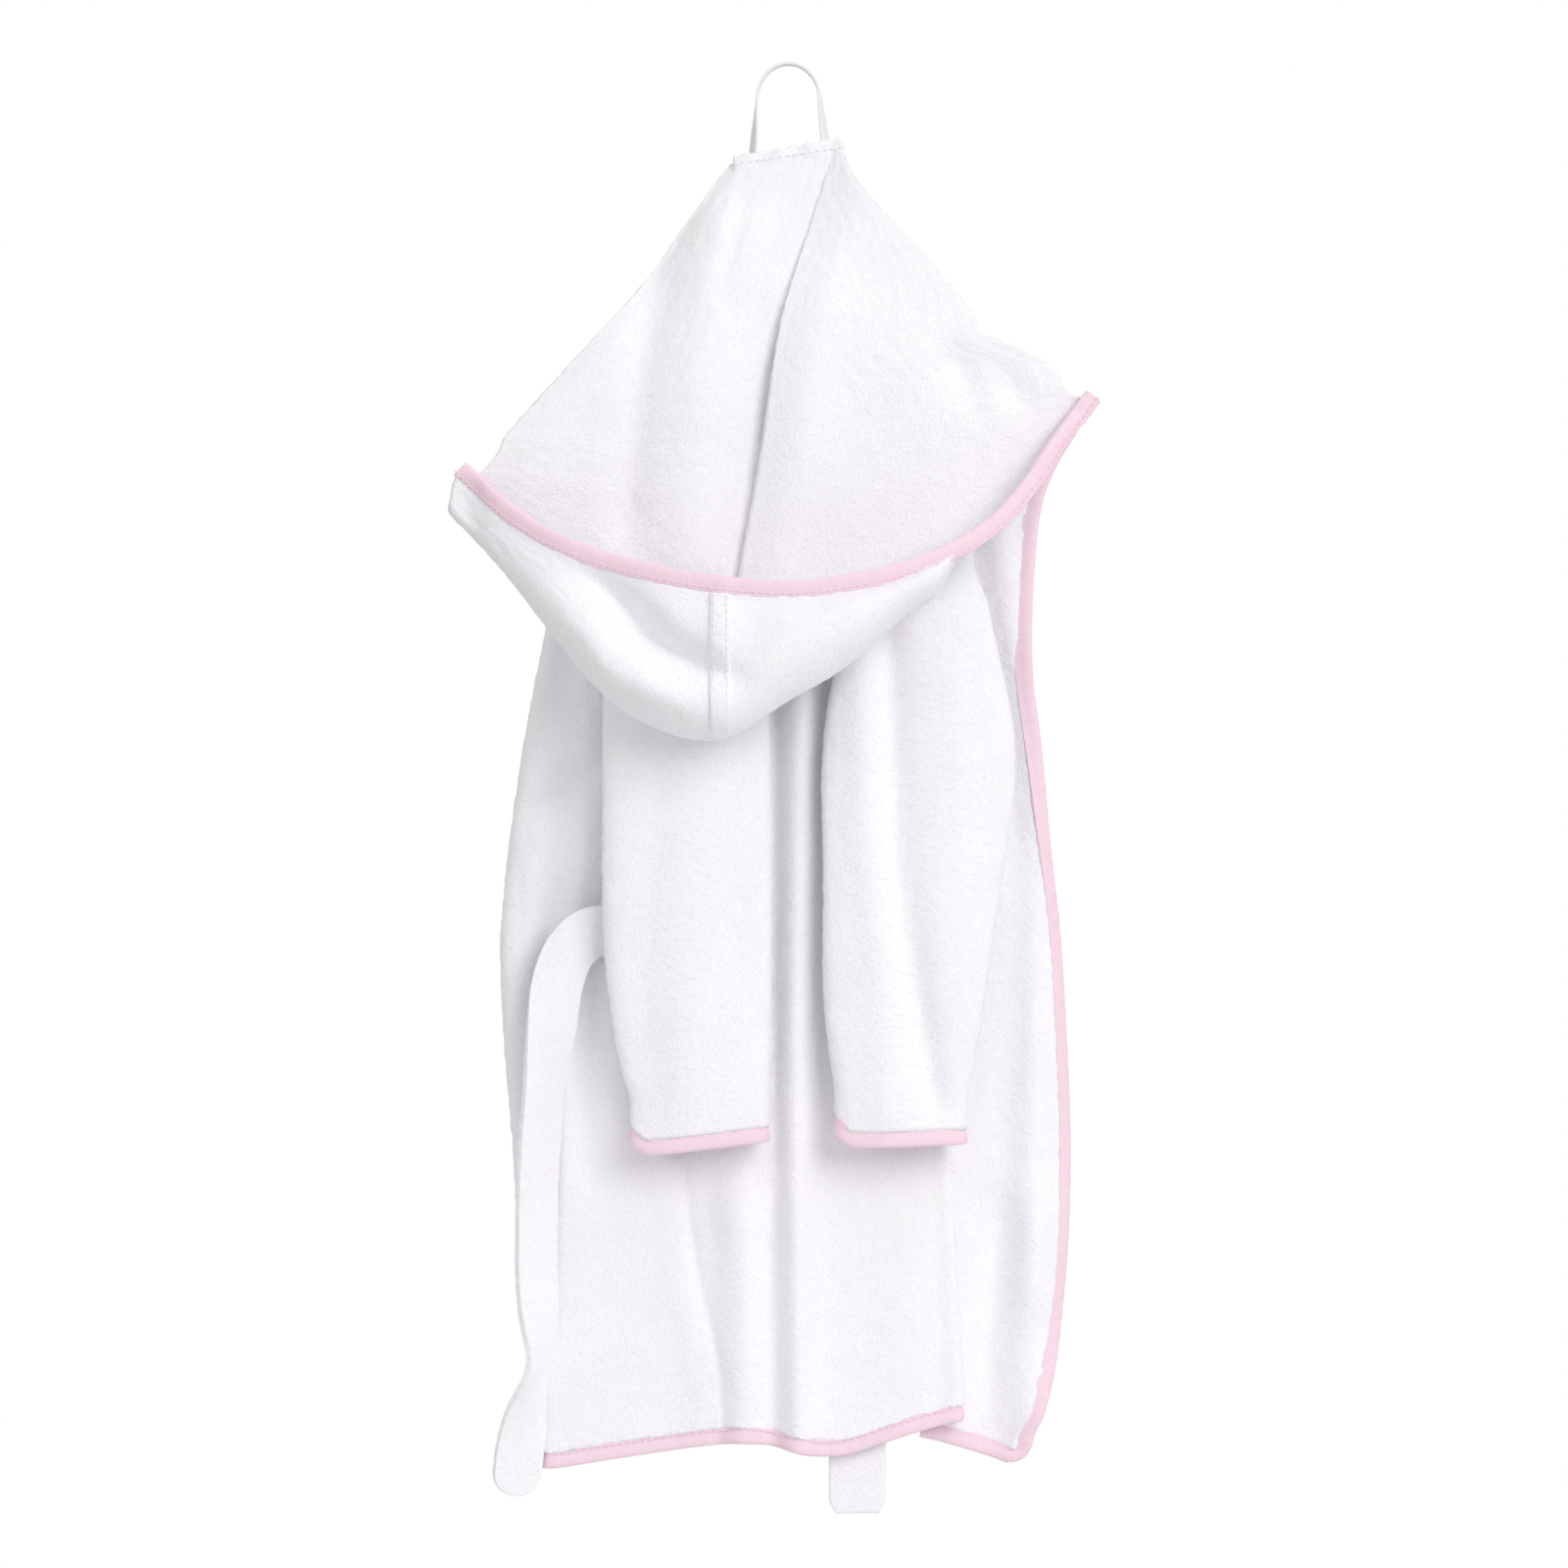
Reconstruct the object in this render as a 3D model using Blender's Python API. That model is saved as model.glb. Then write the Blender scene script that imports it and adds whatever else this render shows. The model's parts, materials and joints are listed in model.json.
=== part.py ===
"""Hooded terry robe for a baby, as it hangs by its loop with its back to the viewer.

Frame: metres, +Z up, +X to the viewer's right, the viewer on the -Y side and the wall on the +Y side.
The origin is where the hanger loop bears on a peg. The hood hangs down over the back as a pocket,
the sleeves hang in front of the back panel and the two front panels are folded open to the sides.
"""

import math

import bmesh
import bpy
import numpy as np
from mathutils import Vector

# ---------------------------------------------------------------- driving dimensions, metres

CLOTH = 0.003             # terry cloth, with its pile
CLEARANCE = 0.0004        # between two pieces that are sewn or lie together
LAYER_GAP = 0.0016        # between two layers that hang over each other

LOOP_RADIUS = 0.014       # inside of the hanger loop, over the peg
LOOP_DROP = 0.040         # from the bearing point down to the nape
TAPE_WIDTH = 0.008
TAPE_THICKNESS = 0.0012

NAPE_WIDTH = 0.046        # of the gathered nape seam
NAPE_TILT = 0.17          # rise of the nape seam to the right, as a slope
SEAM_HEIGHT = 0.007       # of the neck seam allowance

BODY_LENGTH = 0.576       # nape to hem of the back
BACK_LEFT = 0.108         # half widths of the back at the hem, left and right of the origin
BACK_RIGHT = 0.078
SIDE_SEAM = 0.066         # distance of each side seam from the middle

HOOD_LEFT = 0.148         # reach of the hood's two corners
HOOD_RIGHT = 0.137
LEFT_CORNER_DROP = 0.145  # of the hood's corners below the nape
RIGHT_CORNER_DROP = 0.107
LIP_SAG = 0.073           # of the hood's face edge below the line between its corners
CROWN_SAG = 0.135         # of the crown's lowest point below that line
POCKET_DEPTH = 0.048      # of the hood's pocket, front to back
FOLD_LIFT = 0.008         # of the hood's fold line above its corners
FOLD_GAP = 0.0026         # left open on each side of the fold line, so that the crown can turn
HOOD_SLOPE_START = 0.0036 # how far in front of the back the hood starts, at the nape

BINDING_HEIGHT = 0.008
BINDING_THICKNESS = 0.0046
STITCH_BAND = 0.0086      # width of the crown's centre seam

SLEEVE_LENGTH = 0.262
SLEEVE_HEAD_DROP = 0.178  # nape to the top of the hanging sleeves
PIVOT_BELOW_HEAD = 0.018  # from a sleeve's top to the point it swings about
LEFT_PIVOT_X = -0.036
RIGHT_PIVOT_X = 0.048
SLEEVE_DEPTH = 0.014      # a hanging sleeve, front to back
CUFF_PROUD = 0.0008       # how far a cuff binding stands out of its sleeve

TIE_WIDTH = 0.025
TIE_THICKNESS = 0.0024
WAIST_DROP = 0.352        # nape to where both ties are sewn into the side seams
LEFT_TIE_DROP = 0.249
RIGHT_TIE_DROP = 0.260
RIGHT_TIE_X = 0.0325

FRONT_RIGHT_REACH = 0.125 # of the right front edge from the middle
FRONT_LEFT_REACH = 0.130  # of the left front panel's fold
FRONT_LEFT_RETURN = 0.026 # width of the strip that is folded back behind it
FRONT_DIP = 0.010         # how far the front panels' corners hang below the back's hem

# ---------------------------------------------------------------- layers, from the wall to the viewer

BACK_Y = 0.0
LEFT_TIE_Y = BACK_Y - CLOTH / 2 - LAYER_GAP - TIE_THICKNESS / 2 - CLEARANCE
SLEEVE_Y = LEFT_TIE_Y - TIE_THICKNESS / 2 - LAYER_GAP - CUFF_PROUD - SLEEVE_DEPTH / 2
RIGHT_TIE_Y = BACK_Y + CLOTH / 2 + LAYER_GAP + TIE_THICKNESS / 2
FRONT_Y = RIGHT_TIE_Y + TIE_THICKNESS / 2 + 2 * LAYER_GAP + BINDING_THICKNESS / 2
HOOD_Y = SLEEVE_Y - SLEEVE_DEPTH / 2 - CUFF_PROUD - LAYER_GAP - CLOTH / 2

NAPE_Z = -LOOP_DROP
HEM_Z = NAPE_Z - BODY_LENGTH
FRONT_LENGTH = BODY_LENGTH + FRONT_DIP
SLEEVE_TOP = NAPE_Z - SLEEVE_HEAD_DROP
SLEEVE_END = SLEEVE_TOP - SLEEVE_LENGTH
SLEEVE_PIVOT_Z = SLEEVE_TOP - PIVOT_BELOW_HEAD
TIE_SEAM_Z = NAPE_Z - WAIST_DROP

WHITE = (0.93, 0.92, 0.94, 1.0)
PINK = (0.91, 0.66, 0.75, 1.0)
TAPE = (0.94, 0.94, 0.93, 1.0)


# ---------------------------------------------------------------- curves

def curve(points, at):
    """A smooth line through points of rising first coordinate: its second coordinate at the given place."""
    xs = [p[0] for p in points]
    ys = [p[1] for p in points]
    at = min(max(at, xs[0]), xs[-1])
    i = max(k for k in range(len(xs) - 1) if xs[k] <= at)
    slopes = []
    for k in (i, i + 1):
        before, after = max(k - 1, 0), min(k + 1, len(xs) - 1)
        slopes.append((ys[after] - ys[before]) / (xs[after] - xs[before]))
    span = xs[i + 1] - xs[i]
    t = (at - xs[i]) / span
    h1, h2 = 2 * t ** 3 - 3 * t ** 2 + 1, t ** 3 - 2 * t ** 2 + t
    h3, h4 = -2 * t ** 3 + 3 * t ** 2, t ** 3 - t ** 2
    return h1 * ys[i] + h2 * span * slopes[0] + h3 * ys[i + 1] + h4 * span * slopes[1]


def smooth_path(points, count):
    """count points evenly along a smooth curve through the given ones."""
    points = np.array(points, float)
    lengths = np.concatenate([[0], np.cumsum(np.linalg.norm(np.diff(points, axis=0), axis=1))])
    fine = np.linspace(0, lengths[-1], 12 * len(points))
    line = np.array([[curve(list(zip(lengths, points[:, k])), s) for k in range(3)] for s in fine])
    run = np.concatenate([[0], np.cumsum(np.linalg.norm(np.diff(line, axis=0), axis=1))])
    even = np.linspace(0, run[-1], count)
    return np.array([[np.interp(s, run, line[:, k]) for k in range(3)] for s in even])


def mix(a, b, t):
    return a + (b - a) * t


# ---------------------------------------------------------------- solids

def clear_scene():
    for obj in list(bpy.data.objects):
        bpy.data.objects.remove(obj, do_unlink=True)


def material(name, colour, roughness):
    made = bpy.data.materials.get(name)
    if made is None:
        made = bpy.data.materials.new(name)
        made.use_nodes = True
        shader = made.node_tree.nodes["Principled BSDF"]
        shader.inputs["Base Color"].default_value = colour
        shader.inputs["Roughness"].default_value = roughness
        shader.inputs["Metallic"].default_value = 0.0
        made.diffuse_color = colour
    return made


def finish(name, points, faces, colour, roughness, pivot):
    """Makes the object from its points, in the garment's frame, with its origin on its parent's axis."""
    mesh = bpy.data.meshes.new(name)
    solid = bmesh.new()
    corners = [solid.verts.new(Vector(p)) for p in points]
    for face in faces:
        solid.faces.new([corners[i] for i in face])
    bmesh.ops.recalc_face_normals(solid, faces=solid.faces)
    if pivot is not None:
        bmesh.ops.translate(solid, verts=solid.verts, vec=-pivot.location)
    solid.to_mesh(mesh)
    solid.free()
    mesh.shade_smooth()
    mesh.set_sharp_from_angle(angle=math.radians(50))
    mesh.materials.append(material(name, colour, roughness))
    obj = bpy.data.objects.new(name, mesh)
    bpy.context.scene.collection.objects.link(obj)
    obj.parent = pivot
    return obj


def axis_empty(name, place):
    empty = bpy.data.objects.new(name, None)
    empty.location = place
    empty.empty_display_size = 0.02
    bpy.context.scene.collection.objects.link(empty)
    return empty


def cloth(name, grid, pivot=None, flat_sides=False):
    """A sheet of terry: a grid of points along its middle, thickened to both sides.

    Flat sides keep their X whatever the thickness, so that neighbours stay clear of each other.
    """
    grid = np.array(grid, float)
    rows, cols = grid.shape[:2]
    down = np.gradient(grid, axis=0)
    across = np.gradient(grid, axis=1)
    normal = np.cross(down, across)
    if flat_sides:
        normal[:, [0, -1], 0] = 0
    normal /= np.linalg.norm(normal, axis=2, keepdims=True)
    sides = [grid + normal * CLOTH / 2, grid - normal * CLOTH / 2]
    points = np.concatenate([side.reshape(-1, 3) for side in sides])
    far = rows * cols

    def at(r, c):
        return r * cols + c

    faces = []
    for r in range(rows - 1):
        for c in range(cols - 1):
            quad = [at(r, c), at(r, c + 1), at(r + 1, c + 1), at(r + 1, c)]
            faces.append(quad)
            faces.append([far + i for i in reversed(quad)])
    edge = [at(0, c) for c in range(cols)]
    edge += [at(r, cols - 1) for r in range(1, rows)]
    edge += [at(rows - 1, c) for c in reversed(range(cols - 1))]
    edge += [at(r, 0) for r in reversed(range(1, rows - 1))]
    for a, b in zip(edge, edge[1:] + edge[:1]):
        faces.append([a, far + a, far + b, b])
    return finish(name, points, faces, WHITE, 0.95, pivot)


def rounded_section(width, thickness):
    """Eight points of a flat strip's section with its corners cut, as (across, through) pairs."""
    w, t = width / 2, thickness / 2
    cut = min(w, t) * 0.5
    return [(w, -t + cut), (w, t - cut), (w - cut, t), (-w + cut, t),
            (-w, t - cut), (-w, -t + cut), (-w + cut, -t), (w - cut, -t)]


def strip(name, path, width, thickness, colour, pivot=None, through=(0, 1, 0), roughness=0.8, ends=None):
    """A flat strip along a path; through is the direction of its thickness, and ends its end widths' shares."""
    path = np.array(path, float)
    tangent = np.gradient(path, axis=0)
    tangent /= np.linalg.norm(tangent, axis=1, keepdims=True)
    through = np.array(through, float)
    across = np.cross(tangent, through)
    across /= np.linalg.norm(across, axis=1, keepdims=True)
    shares = np.ones(len(path)) if ends is None else np.array(ends)
    section = rounded_section(width, thickness)
    points = [path[i] + across[i] * a * shares[i] + through * b
              for i in range(len(path)) for a, b in section]
    n = len(section)
    faces = [[i * n + k, i * n + (k + 1) % n, (i + 1) * n + (k + 1) % n, (i + 1) * n + k]
             for i in range(len(path) - 1) for k in range(n)]
    faces.append(list(range(n)))
    faces.append([(len(path) - 1) * n + k for k in range(n)])
    return finish(name, points, faces, colour, roughness, pivot)


def tube(name, stations, depth, wall, colour, pivot, sides=20):
    """A flattened tube that is open at both ends; stations are (z, middle, half width, tilt)."""
    points = []
    for inset in (0.0, wall):
        for z, middle, half, tilt in stations:
            for k in range(sides):
                angle = 2 * math.pi * k / sides
                c, s = math.cos(angle), math.sin(angle)
                x = (half - inset) * math.copysign(abs(c) ** 0.7, c)
                y = (depth / 2 - inset) * math.copysign(abs(s) ** 0.7, s)
                points.append((middle + x, SLEEVE_Y + y, z + tilt * x))
    count = len(stations)

    def at(shell, i, k):
        return (shell * count + i) * sides + k % sides

    faces = []
    for shell in (0, 1):
        for i in range(count - 1):
            for k in range(sides):
                faces.append([at(shell, i, k), at(shell, i, k + 1), at(shell, i + 1, k + 1), at(shell, i + 1, k)])
    for i in (0, count - 1):
        for k in range(sides):
            faces.append([at(0, i, k), at(0, i, k + 1), at(1, i, k + 1), at(1, i, k)])
    return finish(name, points, faces, colour, 0.95, pivot)


# ---------------------------------------------------------------- hanger loop and neck seam

def nape_line(x):
    """Height of the nape seam, which hangs a little tilted."""
    return NAPE_Z + NAPE_TILT * x


def hanger_loop():
    """A tape folded over the peg, its flat side on the peg and its two ends sewn into the nape."""
    radius = LOOP_RADIUS + TAPE_THICKNESS / 2
    centre = -LOOP_RADIUS
    arc = [(radius * math.cos(a), centre + radius * math.sin(a)) for a in np.linspace(math.pi, 0, 17)]
    spread = LOOP_RADIUS * 1.14
    foot = TAPE_THICKNESS / 2 + CLEARANCE
    left = (-spread, nape_line(-spread) + foot)
    right = (spread, nape_line(spread) + foot)
    legs = [(mix(left[0], arc[0][0], t), mix(left[1], arc[0][1], t)) for t in (0, 0.33, 0.67)]
    back = [(mix(arc[-1][0], right[0], t), mix(arc[-1][1], right[1], t)) for t in (0.33, 0.67, 1)]
    path = [(x, BACK_Y, z) for x, z in legs + arc + back]
    strip("hanger_loop", path, TAPE_THICKNESS, TAPE_WIDTH, TAPE)


def neck_seam():
    half = NAPE_WIDTH / 2
    path = [(x, BACK_Y, nape_line(x) - SEAM_HEIGHT / 2) for x in np.linspace(-half, half, 7)]
    strip("neck_seam", path, SEAM_HEIGHT, CLOTH, WHITE)


# ---------------------------------------------------------------- hood

def corner_line(x):
    """Height of the line between the hood's two corners."""
    left, right = NAPE_Z - LEFT_CORNER_DROP, NAPE_Z - RIGHT_CORNER_DROP
    return mix(left, right, (x + HOOD_LEFT) / (HOOD_LEFT + HOOD_RIGHT))


def fold_line(x):
    return corner_line(x) + FOLD_LIFT


def across_hood(x):
    """Place between the hood's corners, from -1 at the left one to 1 at the right one."""
    return 2 * (x + HOOD_LEFT) / (HOOD_LEFT + HOOD_RIGHT) - 1


LIP_SHAPE = [(-1, 0), (-0.9, 0.24), (-0.71, 0.5), (-0.34, 0.81), (0, 0.98), (0.2, 1.0),
             (0.4, 0.965), (0.6, 0.85), (0.73, 0.68), (0.83, 0.45), (1, 0)]
CROWN_SHAPE = [(-1, 0.05), (-0.9, 0.25), (-0.71, 0.54), (-0.56, 0.76), (-0.42, 0.9), (-0.17, 1.0),
               (0.02, 0.9), (0.18, 0.83), (0.33, 0.72), (0.45, 0.6), (0.6, 0.49), (0.8, 0.42), (1, 0.1)]
CORNER_INSET = 0.012      # from a hood corner to where its inner layer meets the fold line
LIP_SEAM_X = -0.030       # place of the crown's centre seam
LAP_TOP_X = 0.020         # the right half laps over the left one along a line from here
LAP_LOW_X = -0.012        # to here at the fold
RIM_HEIGHT = 0.012        # least height of the crown's outer layer below its binding


def lip_height(x):
    return corner_line(x) - LIP_SAG * curve(LIP_SHAPE, across_hood(x))


def lip_cut(x):
    """Height of the crown's raw edge, square under its binding where the lip runs steeply too."""
    step = 0.002
    slope = (lip_height(x + step) - lip_height(x - step)) / (2 * step)
    return lip_height(x) - (BINDING_HEIGHT / 2 + 2 * CLEARANCE) * math.hypot(1, slope)


def crown_bottom(x):
    low = corner_line(x) - CROWN_SAG * curve(CROWN_SHAPE, across_hood(x))
    return min(low, lip_cut(x) - RIM_HEIGHT)


def pocket_depth(x):
    s = min(abs(across_hood(x)), 0.98)
    return max(POCKET_DEPTH * (1 - s * s) ** 0.6, 4 * CLOTH)


def crown_section(x):
    """The crown's middle line at x: down its inner layer, round the bottom and up to the lip."""
    depth = pocket_depth(x) - CLOTH
    low = crown_bottom(x) + CLOTH / 2
    turn = min(depth / 2, lip_cut(x) - low - CLEARANCE)
    top = fold_line(x) - FOLD_GAP
    inner = [(HOOD_Y, mix(top, low + turn, t)) for t in np.linspace(0, 1, 6)]
    bend = [(HOOD_Y - depth / 2 + depth / 2 * math.cos(a), low + turn - turn * math.sin(a))
            for a in np.linspace(0, math.pi, 9)[1:]]
    lip = lip_cut(x)
    outer = [(HOOD_Y - depth, mix(low + turn, lip, t)) for t in np.linspace(0, 1, 4)[1:]]
    return [(x, y, z) for y, z in inner + bend + outer]


def crown(name, start, end, columns, pivot):
    grid = [crown_section(x) for x in np.linspace(start, end, columns)]
    cloth(name, np.transpose(np.array(grid), (1, 0, 2)), pivot, flat_sides=True)


def hood_crown(pivot):
    band = STITCH_BAND / 2 + CLEARANCE
    left_end = -HOOD_LEFT * 0.965
    right_end = HOOD_RIGHT * 0.93
    crown("hood_left_crown", left_end, LIP_SEAM_X - band, 14, pivot)
    crown("hood_centre_seam", LIP_SEAM_X - STITCH_BAND / 2, LIP_SEAM_X + STITCH_BAND / 2, 3, pivot)
    crown("hood_right_crown", LIP_SEAM_X + band, right_end, 18, pivot)
    path = [(x, HOOD_Y - pocket_depth(x) + CLOTH, lip_height(x)) for x in np.linspace(left_end, right_end, 36)]
    strip("hood_binding", path, BINDING_HEIGHT, BINDING_THICKNESS, PINK, pivot)


def hood_outline_left(z):
    """X of the hood's left outline at a height; the cloth runs out from the nape to the left corner."""
    drop = (nape_line(-NAPE_WIDTH / 2) - z) / (LEFT_CORNER_DROP - FOLD_LIFT)
    shape = [(0, 0), (0.18, 0.16), (0.42, 0.37), (0.72, 0.7), (1, 1)]
    return mix(-NAPE_WIDTH / 2 - 0.002, -HOOD_LEFT + CORNER_INSET, curve(shape, drop))


def hood_outline_right(z):
    drop = (nape_line(NAPE_WIDTH / 2) - z) / (RIGHT_CORNER_DROP - FOLD_LIFT + 0.003)
    shape = [(0, 0), (0.2, 0.1), (0.5, 0.36), (0.8, 0.62), (1, 0.96)]
    return mix(NAPE_WIDTH / 2 - 0.001, HOOD_RIGHT - 0.008, curve(shape, drop))


def nape_y(share):
    """The hood comes forward over the sleeve heads between the nape and the fold line."""
    ease = share * share * (3 - 2 * share)
    return mix(BACK_Y - HOOD_SLOPE_START, HOOD_Y, ease)


def hood_nape():
    """The hood's inner layer from the nape seam to the fold line, its right half lapped over the left."""
    rows = 14
    for name, side in (("hood_left_nape", -1), ("hood_right_nape", 1)):
        grid = []
        for v in np.linspace(0, 1, rows):
            seam = mix(LAP_TOP_X, LAP_LOW_X, v) + side * CLEARANCE
            row = []
            for u in np.linspace(0, 1, 9):
                outline = hood_outline_left if side < 0 else hood_outline_right
                corner = -NAPE_WIDTH / 2 if side < 0 else NAPE_WIDTH / 2
                end = -HOOD_LEFT + CORNER_INSET if side < 0 else HOOD_RIGHT - CORNER_INSET
                outer_z = mix(nape_line(corner), fold_line(end) + FOLD_GAP, v)
                outer_x = outline(outer_z)
                seam_z = mix(nape_line(seam), fold_line(seam) + FOLD_GAP, v)
                x = mix(seam, outer_x, u)
                z = mix(seam_z, outer_z, u)
                row.append((x, nape_y(v), z))
            grid.append(row)
        cloth(name, grid)


# ---------------------------------------------------------------- body panels

def panel_grid(left, right, top, low, y, rows, cols):
    """A panel between two side edges, given against its height, and two ends, given across it."""
    grid = []
    for v in np.linspace(0, 1, rows):
        row = []
        for u in np.linspace(0, 1, cols):
            z = mix(curve(top, u), curve(low, u), v)
            x = mix(curve(left, v), curve(right, v), u)
            row.append((x, y, z))
        grid.append(row)
    return grid


def beside(edge, length, distance):
    """An edge line moved square to itself, towards the middle; edge gives x against a share of its length."""
    step = 0.01
    moved = []
    for v in np.linspace(0, 1, 21):
        slope = (curve(edge, v + step) - curve(edge, v - step)) / (2 * step * length)
        moved.append((v, curve(edge, v) - distance * math.hypot(1, slope)))
    return moved


def back_panel():
    half = NAPE_WIDTH / 2
    under = SEAM_HEIGHT + 2 * CLEARANCE
    left = [(0, -half), (0.09, -BACK_LEFT * 0.66), (0.2, -BACK_LEFT * 0.9), (0.3, -BACK_LEFT * 0.82),
            (0.45, -BACK_LEFT * 0.9), (0.7, -BACK_LEFT * 0.95), (1, -BACK_LEFT)]
    right = [(0, half - 0.002), (0.09, BACK_RIGHT * 0.72), (0.2, BACK_RIGHT), (0.3, BACK_RIGHT * 0.96),
             (0.45, BACK_RIGHT * 1.06), (0.7, BACK_RIGHT * 0.9), (1, BACK_RIGHT)]
    top = [(0, nape_line(-half) - under), (1, nape_line(half) - under)]
    hem = [(0, HEM_Z - 0.008), (0.2, HEM_Z - 0.002), (0.5, HEM_Z + 0.005), (0.72, HEM_Z + 0.003), (1, HEM_Z + 0.014)]
    cloth("back_panel", panel_grid(left, right, top, hem, BACK_Y, 26, 11))
    drop = 2 * CLEARANCE + BINDING_HEIGHT / 2
    path = [(mix(-BACK_LEFT, BACK_RIGHT, u), BACK_Y, curve(hem, u) - drop) for u in np.linspace(0, 1, 18)]
    strip("back_hem_binding", path, BINDING_HEIGHT, CLOTH, PINK)


def right_front(pivot):
    """The right front, open to the right, with its binding down the front edge and along the hem."""
    low = NAPE_Z - FRONT_LENGTH
    reach = FRONT_RIGHT_REACH
    edge = [(0, reach + 0.011), (0.03, reach), (0.08, reach - 0.013), (0.14, reach - 0.0175),
            (0.25, reach - 0.0195), (0.33, reach - 0.015), (0.42, reach - 0.010), (0.5, reach - 0.005),
            (0.6, reach - 0.002), (0.7, reach), (0.8, reach - 0.001), (0.9, reach - 0.006), (1, reach - 0.018)]
    right = beside(edge, FRONT_LENGTH - RIGHT_CORNER_DROP, BINDING_HEIGHT / 2 + 3 * CLEARANCE)
    left = [(0, SIDE_SEAM), (1, SIDE_SEAM)]
    top = [(0, NAPE_Z - 0.078), (0.5, NAPE_Z - 0.096), (1, NAPE_Z - RIGHT_CORNER_DROP - 0.002)]
    hem = [(0, low + 0.016), (1, low + BINDING_HEIGHT / 2 + 0.003)]
    cloth("right_front_panel", panel_grid(left, right, top, hem, FRONT_Y, 26, 7), pivot)
    path = []
    for v in np.linspace(0, 1, 34):
        z = mix(curve(top, 1), curve(hem, 1), v)
        path.append((curve(edge, v), FRONT_Y, z))
    strip("right_front_binding", path, BINDING_HEIGHT, BINDING_THICKNESS, PINK, pivot)
    drop = 2 * CLEARANCE + BINDING_HEIGHT / 2
    end = (right[-1][1] - SIDE_SEAM - 0.004) / (right[-1][1] - SIDE_SEAM)
    path = [(mix(SIDE_SEAM, right[-1][1], u), FRONT_Y, curve(hem, u) - drop) for u in np.linspace(0, end, 6)]
    strip("right_front_hem_binding", path, BINDING_HEIGHT, BINDING_THICKNESS, PINK, pivot)


def left_front(pivot):
    """The left front, open to the left, with its front edge folded back behind it."""
    low = NAPE_Z - FRONT_LENGTH
    reach = FRONT_LEFT_REACH
    turn = BINDING_THICKNESS * 0.9
    fold = [(0, reach), (0.1, reach - 0.014), (0.17, reach - 0.022), (0.25, reach - 0.015), (0.35, reach - 0.007),
            (0.5, reach), (0.6, reach - 0.001), (0.75, reach - 0.006), (1, reach - 0.010)]
    top_z = (NAPE_Z - 0.062, NAPE_Z - LEFT_CORNER_DROP + 0.004)
    low_z = (low + 0.018, low + 0.036)
    rows = []
    edge_path = []
    for v in np.linspace(0, 1, 26):
        x_fold = -curve(fold, v) + turn + CLOTH / 2
        row = []
        for u in np.linspace(0, 1, 6):
            z = mix(mix(top_z[0], low_z[0], v), mix(top_z[1], low_z[1], v), u)
            row.append((mix(-SIDE_SEAM, x_fold, u), FRONT_Y, z))
        z = row[-1][2]
        for a in np.linspace(0, math.pi, 7)[1:]:
            row.append((x_fold - turn * math.sin(a), FRONT_Y + turn - turn * math.cos(a), z))
        for u in (0.5, 1):
            row.append((x_fold + FRONT_LEFT_RETURN * u, FRONT_Y + 2 * turn, z))
        edge_path.append((x_fold + FRONT_LEFT_RETURN + CLEARANCE + BINDING_HEIGHT / 2, FRONT_Y + 2 * turn, z))
        rows.append(row)
    cloth("left_front_panel", rows, pivot)
    strip("left_front_binding", edge_path, BINDING_HEIGHT, CLOTH, PINK, pivot)
    drop = 2 * CLEARANCE + BINDING_HEIGHT / 2
    hem_path = [(x, y, z - drop) for x, y, z in rows[-1][:6]]
    strip("left_front_hem_binding", hem_path, BINDING_HEIGHT, CLOTH, PINK, pivot)


# ---------------------------------------------------------------- sleeves and ties

LEFT_SLEEVE = [(0, -0.047, 0.030), (0.15, -0.046, 0.036), (0.35, -0.0455, 0.0375), (0.7, -0.045, 0.0375),
               (0.9, -0.042, 0.034), (1, -0.0385, 0.030)]
RIGHT_SLEEVE = [(0, 0.062, 0.022), (0.15, 0.058, 0.034), (0.36, 0.0585, 0.0435), (0.55, 0.056, 0.0405),
                (0.8, 0.0515, 0.036), (0.92, 0.0505, 0.032), (1, 0.050, 0.0285)]


def sleeve(side, shape, tilt, pivot):
    """A sleeve hanging from its head, flattened, open at the armhole and at the bound cuff."""
    middles = [(v, m) for v, m, _ in shape]
    halves = [(v, h) for v, _, h in shape]
    stations = []
    for v in np.linspace(0, 1, 13):
        z = mix(SLEEVE_TOP, SLEEVE_END + BINDING_HEIGHT, v)
        stations.append((z, curve(middles, v), curve(halves, v), tilt * v * v))
    tube(side + "_sleeve", stations, SLEEVE_DEPTH, CLOTH, WHITE, pivot)
    z, middle, half, tilt = stations[-1]
    proud = half + CUFF_PROUD
    ring = [(z - CLEARANCE - d, middle, proud - 0.12 * d, tilt) for d in np.linspace(0, BINDING_HEIGHT - CLEARANCE, 3)]
    tube(side + "_cuff_binding", ring, SLEEVE_DEPTH + 2 * CUFF_PROUD, CLOTH + CUFF_PROUD, PINK, pivot)


def rounded_end(count, last):
    """Width shares along a tie: full, then rounded off over its last points."""
    return [1.0 if i < count - last else math.cos(math.pi / 2 * 0.86 * (i - count + last + 1) / last)
            for i in range(count)]


def left_tie(pivot):
    """Leaves the side seam sideways, bends over and hangs down beside the back panel."""
    route = [(0, 0), (-0.018, 0.001), (-0.030, -0.010), (-0.0375, -0.028), (-0.043, -0.065),
             (-0.045, -0.135), (-0.049, -0.190), (-0.056, -0.222), (-0.060, -LEFT_TIE_DROP)]
    start = -SIDE_SEAM
    points = [(start + x, LEFT_TIE_Y, TIE_SEAM_Z + z) for x, z in route]
    path = smooth_path(points, 30)
    strip("left_tie", path, TIE_WIDTH * 0.88, TIE_THICKNESS, WHITE, pivot, roughness=0.95, ends=rounded_end(30, 3))


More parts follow.
